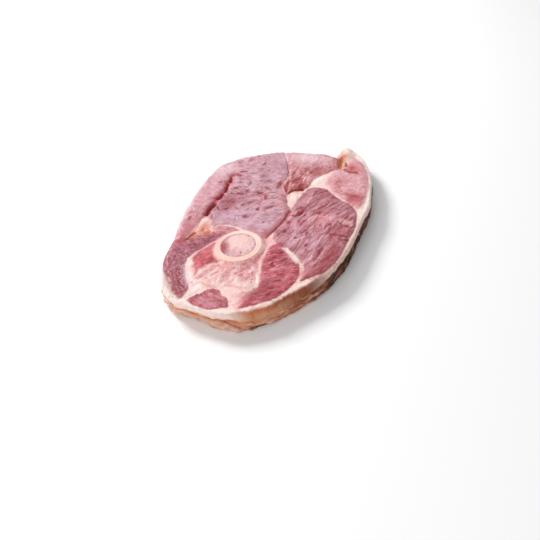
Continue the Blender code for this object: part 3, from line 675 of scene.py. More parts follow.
PITS = (
    # x, y, half length, half width, turn, depth
    (-7.8, 14.9, 2.3, 1.3, -50, 1.4), (2.2, 10.4, 1.6, 0.8, -25, 1.2), (7.0, 4.2, 3.2, 0.9, -45, 1.2),
    (6.6, 18.2, 2.2, 0.9, -55, 1.0), (-2.4, 23.2, 1.4, 0.7, 60, 0.9), (2.2, 21.4, 0.9, 0.7, 0, 0.8),
    (15.6, 10.8, 2.0, 1.0, 20, 1.1), (19.2, 15.6, 2.2, 1.0, -60, 1.0), (18.0, 24.4, 1.2, 0.8, -30, 0.8),
    (13.4, 27.4, 2.4, 0.9, 80, 0.8), (-5.6, 34.0, 2.4, 1.0, 70, 1.0), (-4.6, 29.4, 1.8, 0.7, -30, 0.8),
    (8.6, 35.8, 1.3, 0.6, 20, 0.7), (18.4, 33.0, 1.9, 1.0, -50, 0.9), (-15.8, 34.4, 1.6, 0.6, 20, 0.8),
    (12.4, 31.8, 2.0, 0.7, 85, 0.8), (5.0, 24.6, 1.2, 0.5, -40, 0.6), (-13.0, -13.0, 1.4, 0.9, -50, 1.0),
    (-3.8, -12.4, 1.2, 1.0, -30, 0.8), (-8.0, -24.6, 0.9, 0.6, 20, 0.6), (-21.4, -29.4, 1.4, 0.6, -20, 0.8),
    (-17.0, -21.2, 1.3, 0.5, -50, 0.6), (3.0, -36.0, 1.6, 0.6, 10, 0.5), (12.0, -26.0, 2.6, 0.6, -55, 0.6),
    (26.0, -22.0, 6.0, 0.5, -33, 0.8), (31.0, -17.6, 5.0, 0.4, -16, 0.4), (20.0, -27.0, 5.0, 0.45, -22, 0.6),
    (-60.4, -10.4, 0.6, 0.5, 0, 0.4), (-57.0, -9.6, 0.8, 0.5, 10, 0.4), (-54.6, -8.8, 0.9, 0.5, 30, 0.4),
    (-62.6, -10.8, 0.5, 0.4, 0, 0.3), (60.0, 33.5, 1.6, 0.7, 40, 0.5), (-9.4, 2.6, 0.8, 0.5, 0, 0.4),
)
print(len(STROKES), "strokes,", len(SPOTS), "spots,", len(PITS), "pits")

# %% [markdown]
# ## What a face is like
# A face is described by four things at each plan point: how high it stands, what colour it is, how
# its grain runs and how lean it is. They could be four loose arrays, but they always change
# together, so one small class carries them from step to step.

# %% Height, colour, grain and leanness
class Face:
    """Height, colour, grain coordinates and leanness at each plan point."""

    def __init__(self, plan, height, colour):
        self.plan = plan
        self.height = height
        self.colour = colour
        self.grain = np.column_stack([plan, 0 * plan[:, 0]])
        self.leanness = 0 * plan[:, 0]

    def tint(self, colour, share):
        """Mixes a colour in."""
        self.colour = blend(self.colour, colour, share)

    def mark(self, share, rise, colour, strength):
        """Raises or sinks the face and colours it, both by the same share."""
        self.height = self.height + rise * share
        self.tint(colour, strength * share)


PROBE = np.array([PLAN_MIDDLE])
print("a face holds", ", ".join(vars(Face(PROBE, RIM_HEIGHT, CREAM))))

# %% [markdown]
# ## Dots, ovals and rounded edges
# Blood shows as small dots, stains are ovals with an uneven edge, and a cut edge is never quite
# sharp. Each of these depends only on the distance to a middle or to an edge, so three small
# functions serve for all of them.

# %% Shapes of marks
def dots(u, v, seed):
    """Small round dots, one in most cells, each with its own place and size."""
    column, row = np.floor(u), np.floor(v)
    share = np.zeros(len(u))
    for i in (-1, 0, 1):
        for j in (-1, 0, 1):
            pick = [scatter(column + i, row + j, seed + k) for k in range(3)]
            away = np.hypot(u - column - i - pick[0], v - row - j - pick[1])
            share = np.maximum(share, np.exp(-((away / (0.12 + 0.34 * pick[2])) ** 2)) * (pick[2] > 0.3))
    return share


def ellipse_share(plan, x, y, half_length, half_width, turn):
    """How much a spot covers each point: 1 in its middle, fading out round an uneven edge."""
    along = np.array([math.cos(math.radians(turn)), math.sin(math.radians(turn))])
    offset = plan - (x, y)
    u, v = offset @ along, offset @ (-along[1], along[0])
    reach = (u / half_length) ** 2 + (v / half_width) ** 2
    near = reach < 9
    share = np.zeros(len(plan))
    uneven = 1 + 0.7 * hills(plan[near, 0] / 1.7, plan[near, 1] / 1.7, 40)
    share[near] = np.exp(-(reach[near] * uneven) ** 1.3)
    return share


def edge_drop(away, radius):
    """How much a rounded edge has fallen at a given distance in from it."""
    short = np.clip(radius - away, 0, radius)
    return radius - np.sqrt(radius**2 - short**2)


print("1 mm in, the lean's rounded edge is", round(float(edge_drop(1.0, LEAN_ROUND)), 2), "mm down")

# %% [markdown]
# ## The fat that the muscles lie in
# On a real steak the muscles lie in fat, and the fat shows wherever two of them part. So the cut
# face starts as fat all over. It is whitest in the outer band. Along the front, the band's outer
# strip slopes down towards the side and already has the side's tan and rust, so the same two
# functions colour the strip here and the wall below it. Their rust and brown are partly dried skin
# and partly painted shade, darkest in the hollow below the lip.

# %% Fat and the band's outer strip
def side_body(plan, patches, streaks):
    """The outside of the band: tan round the bone end, rust along the side, brown on the far half; the rust
    and brown are partly dried skin and partly painted shade.
    """
    x = plan[:, 0]
    body = blend(TAN, ORANGE, 0.5 * soft_step(-0.4, 0.6, patches))
    body = blend(body, RUST, soft_step(-78, -54, x) * (0.8 - 0.35 * soft_step(-0.1, 0.7, streaks)))
    # Painted shade, with dried skin: the far half turns brown, as it faces away from the light.
    dark = soft_step(-64, -34, x) * (1 - 0.3 * soft_step(0, 40, x))
    return blend(body, BROWN, dark * (0.9 - 0.5 * soft_step(-0.2, 0.8, streaks)))


def lip_hollow_shade(plan):
    """Painted shade for the hollow below the lip: orange, then rust, then brown towards the far half."""
    x = plan[:, 0]
    deep = blend(ORANGE, RUST, 0.65 * soft_step(-86, -64, x))
    return blend(deep, BROWN, 0.75 * soft_step(-58, -38, x))


def fat_ground(plan, from_rind):
    """The cut face before any muscle is set in it."""
    x, y = plan.T
    height = RIM_HEIGHT + 0.12 * rough(x / 7, y / 7, 9) + 0.08 * rough(x / 2.2, y / 2.2, 10)
    height += 0.3 * rough(x / 9, y / 9, 14) * soft_step(6, 1, from_rind)
    face = Face(plan, height, blend(SEAM_FAT, CREAM_PINK, 0.4 + 0.6 * rough(x / 5, y / 5, 12)))
    face.tint(BAND_FAT, 0.9 * soft_step(7, 2, from_rind))
    return face


def slope_to_side(face, from_rind):
    """Turns the band's outer strip down towards the side, in the side's colours and the painted shade of the
    hollow below the lip.
    """
    x, y = face.plan.T
    sloping = soft_step(-8, -20, y) * soft_step(-36, -56, x)
    warm = from_rind + 0.9 * rough(x / 9, y / 9, 15) + 0.3 * rough(x / 2.6, y / 2.6, 16)
    along_side = soft_step(4, -22, y) * soft_step(34, -10, x)
    face.tint(PEACH, 0.3 * along_side * soft_step(5, 3, warm))
    streaks = rough((0.85 * x - 0.53 * y - 1.4 * from_rind) / 6, from_rind / 3, 113)
    outside = side_body(face.plan, rough(x / 10, y / 10, 111), streaks)
    # Painted shade: the hollow's darker colour on the upper part of the sloping strip.
    outside = blend(outside, lip_hollow_shade(face.plan), 0.9 * soft_step(0.4, 2.0, warm))
    face.tint(outside, sloping * soft_step(2.8, 2.0, warm))
    face.height -= 1.1 * sloping * np.maximum(2.9 - warm, 0) ** 1.3
    face.height -= 0.5 * sloping * streaks * soft_step(3, 1, warm)


plain_height = fat_ground(PROBE, distance(PROBE, RIND)).height[0]
print("before any muscle the middle is", round(float(plain_height), 2), "mm high")

# %% [markdown]
# ## Setting the muscles in the fat
# Each muscle of the list is laid in turn: it swells towards its middle, and its bundles make ridges
# and gaping creases. Its colour is painted pale on the ridges, as highlight, and deep in the creases,
# as shade. The bundles stand highest where the knife tore most. The outlines are read through a
# gently wobbled plan, so that no seam is drawn with a ruler.

# %% One muscle
# The painted highlight on crests and the painted shade in creases grow with the bundles' height, and are
# full from this height on.
FULLY_TONED = 0.26    # height of the bundles, in mm, from which a muscle shows all its tones


def flesh_tone(part, number, plan, depth, crest, gape):
    """The colour of one muscle: patches, painted highlight on the crests, painted shade in the creases and
    along the edge.
    """
    x, y = plan.T
    flesh, pale, deep = part["tones"]
    busy = min(1, part["bundle"][2] / FULLY_TONED)
    tone = flesh
    for size, paler, deeper in ((8, 0.35, 0.2), (3, 0.35, 0.3)):
        patches = rough(x / size, y / size, 20 * size + number)
        tone = blend(tone, pale, paler * soft_step(0, 0.9, patches))
        tone = blend(tone, deep, deeper * soft_step(0, 0.9, -patches))
    # Painted highlight on the crests, painted shade on their low sides and in the gaping creases.
    tone = blend(tone, pale, 0.6 * busy * soft_step(0.0, 0.8, crest))
    tone = blend(tone, deep, 0.55 * busy * soft_step(0.0, 0.8, -crest))
    tone = blend(tone, deep, 0.85 * busy * gape)
    # Painted shade along the edge, where the muscle rounds down to its seam.
    return blend(tone, deep, 0.15 * soft_step(1.2, 0.2, depth))


def set_muscle(face, wavy, part, number):
    """Sets one muscle in the face: its swelling, bundles, colour, grain and leanness."""
    low, high = part["loop"].min(axis=0) - 1, part["loop"].max(axis=0) + 1
    near = np.flatnonzero(((wavy > low) & (wavy < high)).all(axis=1))
    depth = depth_inside(wavy[near], part["loop"])
    near, depth = near[depth > -part["soft"]], depth[depth > -part["soft"]]
    cover = soft_step(-part["soft"], part["soft"], depth)
    plan = face.plan[near]
    u, v = part["grain"](plan)
    length, width, tall = part["bundle"]
    crest, gape = crinkled(u, v, length, width, 60 + 30 * number)
    torn_x, torn_y, torn_reach = part["torn"]
    from_torn = (plan[:, 0] - torn_x) ** 2 + (plan[:, 1] - torn_y) ** 2
    torn = 0.35 + 0.65 * np.exp(-from_torn / torn_reach**2)
    crest, gape = torn * crest, torn * gape
    rise, reach = part["swell"]
    face.height[near] += rise * (1 - np.exp(-np.maximum(depth, 0) / reach))
    face.height[near] += tall * (crest - 0.8 * gape) * soft_step(0, 1.6, depth)
    tone = flesh_tone(part, number, plan, depth, crest, gape)
    face.colour[near] = blend(face.colour[near], tone, cover)
    length, width, strength = part["thread"]
    inner = cover > 0.5
    face.grain[near[inner], 0] = u[inner] / length
    face.grain[near[inner], 1] = v[inner] / width + 40 * number
    face.leanness[near] = face.leanness[near] * (1 - cover) + strength * cover


toned = [name for name, part in MUSCLES.items() if part["bundle"][2] >= FULLY_TONED]
print("muscles that show all their tones:", ", ".join(toned))

# %% [markdown]
# ## Marbling and stipple
# Two muscles have patterns of their own. The pale one round the bone is marbled: clouds of red, and
# veins of fat where a smooth noise crosses its middle. The dark one on the far side of the bone is
# stippled with dots of blood, and thin pale threads run side by side round its outer end.

# %% Marbled and stippled muscles
PALE_THREADS = smooth_path(((-80, 22), (-72, 27), (-64, 31), (-54, 33)), 2.0)


def marble(face, wavy, wobble):
    """Clouds of red and veins of fat in the muscle round the bone."""
    x, y = face.plan.T
    marbled = soft_step(0, 2.5, depth_inside(wavy, MUSCLES["inner_thigh"]["loop"]))
    marbled *= 1 - soft_step(-0.5, 1.5, depth_inside(wavy, MUSCLES["red_thigh"]["loop"]))
    clouds = rough(x / 8, y / 7, 33)
    face.tint(RED, 0.5 * marbled * soft_step(0.1, 0.8, clouds))
    face.tint(ROSE_PALE, 0.5 * marbled * soft_step(0.0, 0.7, -clouds))
    pale_foot = np.exp(-(((x + 70) / 7) ** 2) - ((y + 5) / 6) ** 2)
    face.tint(BAND_FAT, 0.85 * marbled * pale_foot)
    veins = marbled * soft_step(0.3, 0.02, np.abs(rough(x / 9 + 0.5 * wobble[:, 0], y / 7, 31)))
    face.mark(veins, 0.12, BAND_FAT, 0.5)
    face.leanness *= 1 - 0.7 * veins


def stipple(face, wavy):
    """Dots of blood and pale threads in the front muscle of the thigh."""
    x, y = face.plan.T
    dotted = soft_step(0.5, 2, depth_inside(wavy, MUSCLES["front_thigh"]["loop"]))
    dotted *= 0.4 + 0.6 * np.exp(-(((x + 48) / 15) ** 2))
    face.mark(dotted * dots(x / 2.1, y / 2.1, 51), -0.25, BLOOD, 0.8)
    face.leanness *= 1 - 0.6 * dotted
    away = distance(face.plan, PALE_THREADS)
    threads = np.sin(away * 3.6 + 5 * rough(x / 6, y / 6, 53))
    threads = soft_step(0.5, 1.0, threads) * soft_step(-0.5, 0.1, hills(x / 1.6, y / 1.6, 54))
    face.tint(MAUVE_PALE, 0.6 * threads * np.exp(-((away / 6) ** 2)))


print("the pale threads follow a path", round(PALE_THREADS[-1, 0] - PALE_THREADS[0, 0]), "mm long in X")

# %% [markdown]
# ## Drawing the three lists
# Strokes, spots and pits are all drawn alike: a share from 0 to 1 says how much the mark covers a
# point, and height, colour and leanness follow it. Seams and stains aren't lean, so the fibres of
# the lean's finish fade out on them.

# %% Strokes, spots and pits
# PIT_TINT darkens each pit to deep red as painted shade; PIT_HALO rings it with red.
PIT_TINT, PIT_HALO, PIT_DEPTH = 0.65, 0.35, 0.55


def draw_strokes(face, calm):
    """Every seam, crack and streak, with a width that wavers."""
    x, y = face.plan.T
    waver = hills(x / 3.2, y / 3.2, 44)
    for half_width, rise, colour, strength, path in STROKES:
        away = distance(calm, smooth_path(path, PATH_STEP)) / half_width
        away = away * (1 + (0.15 if rise > 0 else 0.35) * waver)
        share = np.exp(-(away**3))
        face.height += rise * np.exp(-(away**2))
        face.tint(colour, strength * share)
        face.leanness *= 1 - strength * share


def draw_spots(face, spots):
    """Stains, hollows and pale places."""
    for x, y, half_length, half_width, turn, rise, colour, strength in spots:
        share = ellipse_share(face.plan, x, y, half_length, half_width, turn)
        face.mark(share, rise, colour, strength)
        face.leanness *= 1 - (0.7 if rise else 0.2) * strength * share


def sink_pits(face, wavy):
    """Small torn holes, darkened inside as painted shade, each with a red halo."""
    for x, y, half_length, half_width, turn, sunk in PITS:
        share = ellipse_share(wavy, x, y, half_length, half_width, turn)
        halo = ellipse_share(face.plan, x, y, 1.7 * half_length, 2.2 * half_width, turn)
        face.tint(RED, PIT_HALO * halo)
        face.mark(share, -PIT_DEPTH * sunk, RED_DEEP, PIT_TINT)
        face.leanness *= 1 - share


print("the deepest pit goes down", round(PIT_DEPTH * max(pit[5] for pit in PITS), 2), "mm")

# %% [markdown]
# ## The whole cut face
# Last come the edges: the lean is dull where skin covers it, the face rises to the bone ring and to
# the nub at the far end, and both outer edges are rounded. Then one function calls every step in
# order. It answers for any set of plan points, so the same steak can be made in coarse or fine
# facets.

# %% Edges, and all the steps in order
NUB = smooth_path(((91.5, -20.0), (83.5, -23.0)), 2.0)
NUB_RISE, NUB_REACH = 2.1, 4.5
TALLEST = 1000 * SOLID_BOX[1][2] - 0.05


def finish_edges(face, from_rind):
    """Skin on the bare edge, the fit to the bone, the nub and the rounded edges."""
    x, y = face.plan.T
    from_bare = distance(face.plan, BARE)
    face.height += 0.4 * rough(x / 4, y / 4, 57) * soft_step(6, 1, from_bare)
    skinned = soft_step(3.6, 0.6, from_bare + 1.2 * rough(x / 5, y / 5, 55)) * soft_step(-64, 10, x)
    face.tint(FADED, 0.55 * skinned)
    face.leanness *= 1 - 0.5 * skinned
    beside_ring = soft_step(2.6, 0.2, distance(face.plan, closed_ring(BONE_RING)))
    face.height += (BONE_HEIGHT - 0.5 - face.height) * beside_ring
    face.tint(CREAM_PINK, 0.3 * beside_ring)
    face.height += NUB_RISE * np.exp(-((distance(face.plan, NUB) / NUB_REACH) ** 2))
    fall = np.maximum(edge_drop(from_bare, LEAN_ROUND), edge_drop(from_rind, FAT_ROUND))
    face.height = np.minimum(face.height - fall, TALLEST)


def cut_face(plan):
    """The upper face of the lean and of the fat."""
    x, y = plan.T
    wobble = np.column_stack([rough(x / 6, y / 6, 1), rough(x / 6, y / 6, 5)])
    fine_wobble = np.column_stack([hills(x / 1.4, y / 1.4, 3), hills(x / 1.4, y / 1.4, 4)])
    calm = plan + 0.55 * wobble
    wavy = calm + 0.22 * fine_wobble
    from_rind = distance(plan, RIND)
    face = fat_ground(plan, from_rind)
    slope_to_side(face, from_rind)
    for number, part in enumerate(MUSCLES.values()):
        set_muscle(face, wavy, part, number)
    marble(face, wavy, wobble)
    draw_strokes(face, calm)
    draw_spots(face, SPOTS)
    sink_pits(face, wavy)
    stipple(face, wavy)
    finish_edges(face, from_rind)
    return face


print("the finished cut face is", round(float(cut_face(PROBE).height[0]), 2), "mm high in the middle")

# %% [markdown]
# ## From a plan to a body
# Each piece is a slab: a face on top, a face below and side walls in rings between them. The faces
# are filled with small even triangles, which take a rough surface better than long thin ones.

# %% Filling a plan with triangles
def in_region(points, loops):
    """Whether each point lies inside the first loop and in none of the others."""
    found = inside(points, loops[0])
    for hole in loops[1:]:
        found &= ~inside(points, hole)
    return found


def outward(loop):
    """Unit normals that point out of the material, at each point of a loop."""
    along = np.roll(loop, -1, axis=0) - np.roll(loop, 1, axis=0)
    along /= np.linalg.norm(along, axis=1)[:, None]
    return np.column_stack([along[:, 1], -along[:, 0]])


def triangulate(loops, rows, step):
    """Plan points and triangles that fill a region. The loops' points come first, in order."""
    low, high = loops[0].min(axis=0), loops[0].max(axis=0)
    spots = []
    for row, y in enumerate(np.arange(low[1], high[1], step * math.sqrt(3) / 2)):
        across = np.arange(low[0] + (row % 2) * step / 2, high[0], step)
        spots.append(np.column_stack([across, np.full(len(across), y)]))
    spots = np.vstack(spots)
    spots = spots[in_region(spots, loops)]
    for path in [closed_ring(loop) for loop in loops] + list(rows):
        spots = spots[distance(spots, path) > 0.55 * step]
    kept_rows = [row[in_region(row, loops)] for row in rows]
    points = np.vstack(list(loops) + [spots] + kept_rows)
    edges, start = [], 0
    for loop in loops:
        count = len(loop)
        edges += [(start + i, start + (i + 1) % count) for i in range(count)]
        start += count
    found, _, faces, sources, _, _ = delaunay_2d_cdt([Vector(p) for p in points], edges, [], 0, 1e-6)
    found = np.array([tuple(p) for p in found])
    faces = np.array(faces)
    faces = faces[in_region(found[faces].mean(axis=1), loops)]
    order = np.array([source[0] for source in sources])
    return points, order[faces]


_, marrow_faces = triangulate([MARROW_RING], (), 1.0)
print("the marrow's plan takes", len(marrow_faces), "triangles of 1 mm")

# %% [markdown]
# ## Handing the points over
# The scene is measured in metres, so a piece's places are scaled down when its mesh is written.
# Colour, grain and leanness are kept on the mesh's points, where the finishes below can read them.

# %% Writing a mesh
SHARP_DEGREES = 60


def write_mesh(name, places, triangles, colours, grains, leans):
    """A piece in metres, with its colours, grain and leanness kept on its points."""
    mesh = bpy.data.meshes.new(name)
    metres = (np.vstack(places) - (*PLAN_MIDDLE, 0.0)) * MM
    mesh.from_pydata(metres.tolist(), [], np.vstack(triangles).tolist())
    tone = mesh.color_attributes.new("Tone", "FLOAT_COLOR", "POINT")
    tone.data.foreach_set("color", np.column_stack([np.vstack(colours), np.ones(len(metres))]).ravel())
    fibre = mesh.attributes.new("Fibre", "FLOAT_VECTOR", "POINT")
    fibre.data.foreach_set("vector", np.vstack(grains).ravel())
    lean_share = mesh.attributes.new("Lean", "FLOAT", "POINT")
    lean_share.data.foreach_set("value", np.concatenate(leans))
    mesh.shade_smooth()
    mesh.set_sharp_from_angle(angle=math.radians(SHARP_DEGREES))
    piece = bpy.data.objects.new(name, mesh)
    bpy.context.scene.collection.objects.link(piece)
    print(name, len(mesh.vertices), "points,", len(mesh.polygons), "triangles")
    return piece


print("edges sharper than", SHARP_DEGREES, "degrees stay sharp")

# %% [markdown]
# ## The side walls
# A wall's profile is a list of depths, and how far the wall stands out of the outline at each. The
# foot of the bone end is drawn in, as in the solids. The walls are coloured by their own function,
# because the outside of a slice has never met the knife.

# %% Building a slab
FOOT_DRAWN_IN = 4.0
FOOT_MIDDLE = (-91.0, 15.0)
FOOT_REACH = 19.0
GRAIN_DOWN = 1.5


def foot_slope(loop):
    """How far the foot of the bone end is drawn in, at each point of a loop."""
    away = np.hypot(*(loop - FOOT_MIDDLE).T)
    return FOOT_DRAWN_IN * np.exp(-((away / FOOT_REACH) ** 2))


def run_along(loop):
    """The length of the loop up to each of its points."""
    return np.concatenate([[0], np.cumsum(np.linalg.norm(np.diff(loop, axis=0), axis=1))])


def slab(name, loops, make_face, walls, side, step, rows=()):
    """A closed body with a shaped upper face, walls in rings and a flat underside.

    walls holds, for each loop, its rings' plan places and depths. side(plan, depth, run, colour)
    gives the colours of wall points from the colour of the edge above them.
    """
    plan, top = triangulate(loops, rows, step)
    face = make_face(plan)
    places, triangles = [np.column_stack([plan, face.height])], [top]
    colours, grains, leans = [face.colour], [face.grain], [face.leanness]
    count, start = len(plan), 0
    floor_loops, floor_ids = [], []
    for loop, (rings, depths) in zip(loops, walls):
        size = len(loop)
        edge = slice(start, start + size)
        above = np.arange(start, start + size)
        after = np.roll(np.arange(size), -1)
        run = run_along(loop)
        for ring, depth in zip(rings, depths):
            here = np.arange(count, count + size)
            down = face.height[edge] * depth / GRAIN_DOWN
            places.append(np.column_stack([ring, face.height[edge] * (1 - depth)]))
            colours.append(side(ring, depth, run, face.colour[edge]))
            grains.append(face.grain[edge] + np.column_stack([0 * run, 0 * run, down]))
            leans.append(face.leanness[edge])
            triangles.append(np.column_stack([above, here, here[after]]))
            triangles.append(np.column_stack([above, here[after], above[after]]))
            above, count = here, count + size
        floor_loops.append(rings[-1])
        floor_ids.append(above)
        start += size
    floor, under = triangulate(floor_loops, (), UNDER_STEP)
    loose = floor[sum(len(loop) for loop in floor_loops) :]
    ids = np.concatenate(floor_ids + [np.arange(count, count + len(loose))])
    below = make_face(loose)
    places.append(np.column_stack([loose, 0 * loose[:, 0]]))
    colours.append(below.colour)
    grains.append(below.grain)
    leans.append(below.leanness)
    triangles.append(ids[under[:, ::-1]])
    return write_mesh(name, places, triangles, colours, grains, leans)


print("the foot of the bone end is drawn in by up to", FOOT_DRAWN_IN, "mm")

# %% [markdown]
# ## Finishes made of nodes
# The colour is already on the points, so a finish adds what is finer than they can hold: fibres,
# pores and a film of moisture. It is a chain of nodes, each of which reads a value and hands on
# another. A small class holds the material, and its methods add nodes, join them up and answer with
# an output, so that a chain reads like a sentence.

# %% Nodes of a finish
class Finish:
    """A material being made: its nodes, its links and its surface shader."""

    def __init__(self, name):
        self.material = bpy.data.materials.new(name)
        self.material.use_nodes = True
        self.nodes = self.material.node_tree.nodes
        self.links = self.material.node_tree.links
        self.shader = self.nodes["Principled BSDF"]

    def kept(self, name, output):
        """A value that was kept on the mesh's points."""
        attribute = self.nodes.new("ShaderNodeAttribute")
        attribute.attribute_name = name
        return attribute.outputs[output]

    def place(self, stretch=(1, 1, 1)):
        """The place on the piece, stretched along each axis."""
        mapping = self.nodes.new("ShaderNodeMapping")
        mapping.inputs["Scale"].default_value = stretch
        self.links.new(self.nodes.new("ShaderNodeTexCoord").outputs["Object"], mapping.inputs["Vector"])
        return mapping.outputs["Vector"]

    def noise(self, source, scale, detail, output="Fac"):
        """A noise texture."""
        noise = self.nodes.new("ShaderNodeTexNoise")
        noise.inputs["Scale"].default_value = scale
        noise.inputs["Detail"].default_value = detail
        self.links.new(source, noise.inputs["Vector"])
        return noise.outputs[output]

    def cells(self, source, scale, feature, output):
        """Random cells, read for their own colour or for the distance to their edge."""
        texture = self.nodes.new("ShaderNodeTexVoronoi")
        texture.feature = feature
        texture.inputs["Scale"].default_value = scale
        self.links.new(source, texture.inputs["Vector"])
        return texture.outputs[output]

    def between(self, source, start, stop, low, high):
        """A value between start and stop moved to the range low to high."""
        change = self.nodes.new("ShaderNodeMapRange")
        for socket, value in zip(("From Min", "From Max", "To Min", "To Max"), (start, stop, low, high)):
            change.inputs[socket].default_value = value
        self.links.new(source, change.inputs["Value"])
        return change.outputs["Result"]

    def ranged(self, noise, low, high):
        """A noise, which mostly lies between 0.3 and 0.7, moved to the range low to high."""
        return self.between(noise, 0.3, 0.7, low, high)

    def maths(self, operation, *values):
        """One step of arithmetic on other nodes' outputs and on plain numbers."""
        step = self.nodes.new("ShaderNodeMath")
        step.operation = operation
        for socket, value in zip(step.inputs, values):
            if isinstance(value, float):
                socket.default_value = value
            else:
                self.links.new(value, socket)
        return step.outputs["Value"]

    def times(self, first, second):
        """Two values multiplied."""
        return self.maths("MULTIPLY", first, second)

    def summed(self, values):
        """Several values added up."""
        total = values[0]
        for other in values[1:]:
            total = self.maths("ADD", total, other)
        return total

    def dimmed(self, colour, amount):
        """A colour multiplied by a value."""
        scale = self.nodes.new("ShaderNodeVectorMath")
        scale.operation = "SCALE"
        self.links.new(colour, scale.inputs[0])
        self.links.new(amount, scale.inputs["Scale"])
        return scale.outputs["Vector"]

    def mixed(self, mode, share, first, colour):
        """A colour mixed with a fixed one."""
        mix = self.nodes.new("ShaderNodeMix")
        mix.data_type = "RGBA"
        mix.blend_type = mode
        self.links.new(share, mix.inputs["Factor"])
        self.links.new(first, mix.inputs["A"])
        mix.inputs["B"].default_value = colour
        return mix.outputs["Result"]

    def surface(self, colour, roughness):
        """Joins a colour and a roughness to the surface shader."""
        self.links.new(colour, self.shader.inputs["Base Color"])
        self.links.new(roughness, self.shader.inputs["Roughness"])

    def bumped(self, heights, tall, strength):
        """Bends the surface's normal by the sum of several heights, each up to tall metres."""
        bump = self.nodes.new("ShaderNodeBump")
        bump.inputs["Strength"].default_value = strength
        bump.inputs["Distance"].default_value = tall
        self.links.new(self.summed(heights), bump.inputs["Height"])
        self.links.new(bump.outputs["Normal"], self.shader.inputs["Normal"])


makers = [name for name in vars(Finish) if not name.startswith("_")]
print("a finish can use", ", ".join(makers))

# %% [markdown]
# ## A finish for lean
# Cut lean shows its fibres as thin light and dark threads, under a wet film whose roughness varies.
# Random cells, read through the stretched grain coordinates, give each thread its own shade. Wavy
# lines add pale and dark threads, and a bump lets them catch the light. Raw meat lets light in a
# little way, so a small share of it scatters under the surface.

# %% Lean finish
PALE_THREAD = (0.7, 0.38, 0.42, 1)
DARK_THREAD = (0.62, 0.3, 0.34, 1)


def warped(finish, source, scale, amount):
    """Coordinates pushed about by noise, so that no cell looks drawn."""
    push = finish.nodes.new("ShaderNodeVectorMath")
    push.operation = "MULTIPLY_ADD"
    push.inputs[1].default_value = (amount, amount, amount)
    finish.links.new(finish.noise(source, scale, 3, "Color"), push.inputs[0])
    finish.links.new(source, push.inputs[2])
    return push.outputs["Vector"]


def wavy_lines(finish, source, scale, width):
    """Thin wavy lines, drawn where a smooth noise crosses its middle: 1 on a line, 0 away from it."""
    off_middle = finish.maths("SUBTRACT", finish.noise(source, scale, 1), 0.5)
    return finish.between(finish.maths("ABSOLUTE", off_middle), 0.0, width, 1.0, 0.0)


def lean_finish():
    """Moist cut lean: pale and dark threads along the grain, fine mottling and a wet film."""
    finish = Finish("moist_lean")
    leanness = finish.kept("Lean", "Fac")
    fibre = warped(finish, finish.kept("Fibre", "Vector"), 0.5, 1.2)
    split = finish.nodes.new("ShaderNodeSeparateColor")
    finish.links.new(finish.cells(fibre, 1.0, "F1", "Color"), split.inputs["Color"])
    own = split.outputs["Red"]
    edge = finish.cells(fibre, 1.0, "DISTANCE_TO_EDGE", "Distance")
    patch = finish.noise(finish.place(), 90, 2)
    dark = finish.times(wavy_lines(finish, fibre, 0.8, 0.07), leanness)
    dark = finish.times(dark, finish.between(patch, 0.4, 0.6, 1.0, 0.2))
    pale = finish.times(wavy_lines(finish, fibre, 0.66, 0.06), leanness)
    pale = finish.times(pale, finish.between(patch, 0.4, 0.6, 0.1, 1.0))
    gap = finish.times(finish.between(edge, 0.0, 0.14, 0.3, 0.0), leanness)

    speckle = finish.ranged(finish.noise(finish.place(), 1300, 3), 0.96, 1.05)
    shade = finish.times(finish.between(own, 0, 1, 0.94, 1.06), speckle)
    base = finish.dimmed(finish.kept("Tone", "Color"), shade)
    base = finish.mixed("MIX", finish.times(pale, leanness), base, PALE_THREAD)
    base = finish.mixed("MULTIPLY", dark, base, DARK_THREAD)
    base = finish.mixed("MULTIPLY", gap, base, DARK_THREAD)
    finish.surface(base, finish.between(own, 0, 1, 0.34, 0.5))

    round_top = finish.between(edge, 0.0, 0.3, 0.0, 0.6)
    sunk = finish.between(dark, 0.0, 1.0, 0.8, 0.0)
    step = finish.between(own, 0, 1, 0.0, 0.5)
    thread_height = finish.summed([round_top, sunk, step, pale])
    finish.bumped([finish.times(thread_height, leanness)], 0.0003, 0.45)
    shader = finish.shader
    shader.inputs["Specular IOR Level"].default_value = 0.25
    shader.inputs["Subsurface Weight"].default_value = 0.08
    shader.inputs["Subsurface Radius"].default_value = (1.0, 0.35, 0.25)
    shader.inputs["Subsurface Scale"].default_value = 0.001
    shader.inputs["Coat Weight"].default_value = 0.06
    shader.inputs["Coat Roughness"].default_value = 0.3
    print("lean finish:", len(finish.nodes), "nodes")
    return finish.material


# %% [markdown]
# ## A finish for fat
# Fat is waxy: smoother than lean, with soft folds and faint pores, and light goes deeper into it.

# %% Fat finish
def fat_finish():
    """Waxy cream fat with faint lumps and pores."""
    finish = Finish("waxy_fat")
    lumps = finish.noise(finish.place(), 380, 4)
    pores = finish.noise(finish.place(), 1500, 2)
    base = finish.dimmed(finish.kept("Tone", "Color"), finish.ranged(lumps, 0.92, 1.06))
    finish.surface(base, finish.ranged(pores, 0.38, 0.55))
    finish.bumped([lumps, pores], 0.0003, 0.6)
    shader = finish.shader
    shader.inputs["Specular IOR Level"].default_value = 0.1
    shader.inputs["Subsurface Weight"].default_value = 0.12
    shader.inputs["Subsurface Radius"].default_value = (1.0, 0.6, 0.4)
    shader.inputs["Subsurface Scale"].default_value = 0.0012
    print("fat finish:", len(finish.nodes), "nodes")
    return finish.material


# %% [markdown]
# ## Finishes for bone and marrow
# Sawn bone is matt and chalky, with fine scratches from the saw. Marrow is soft and slightly wet.

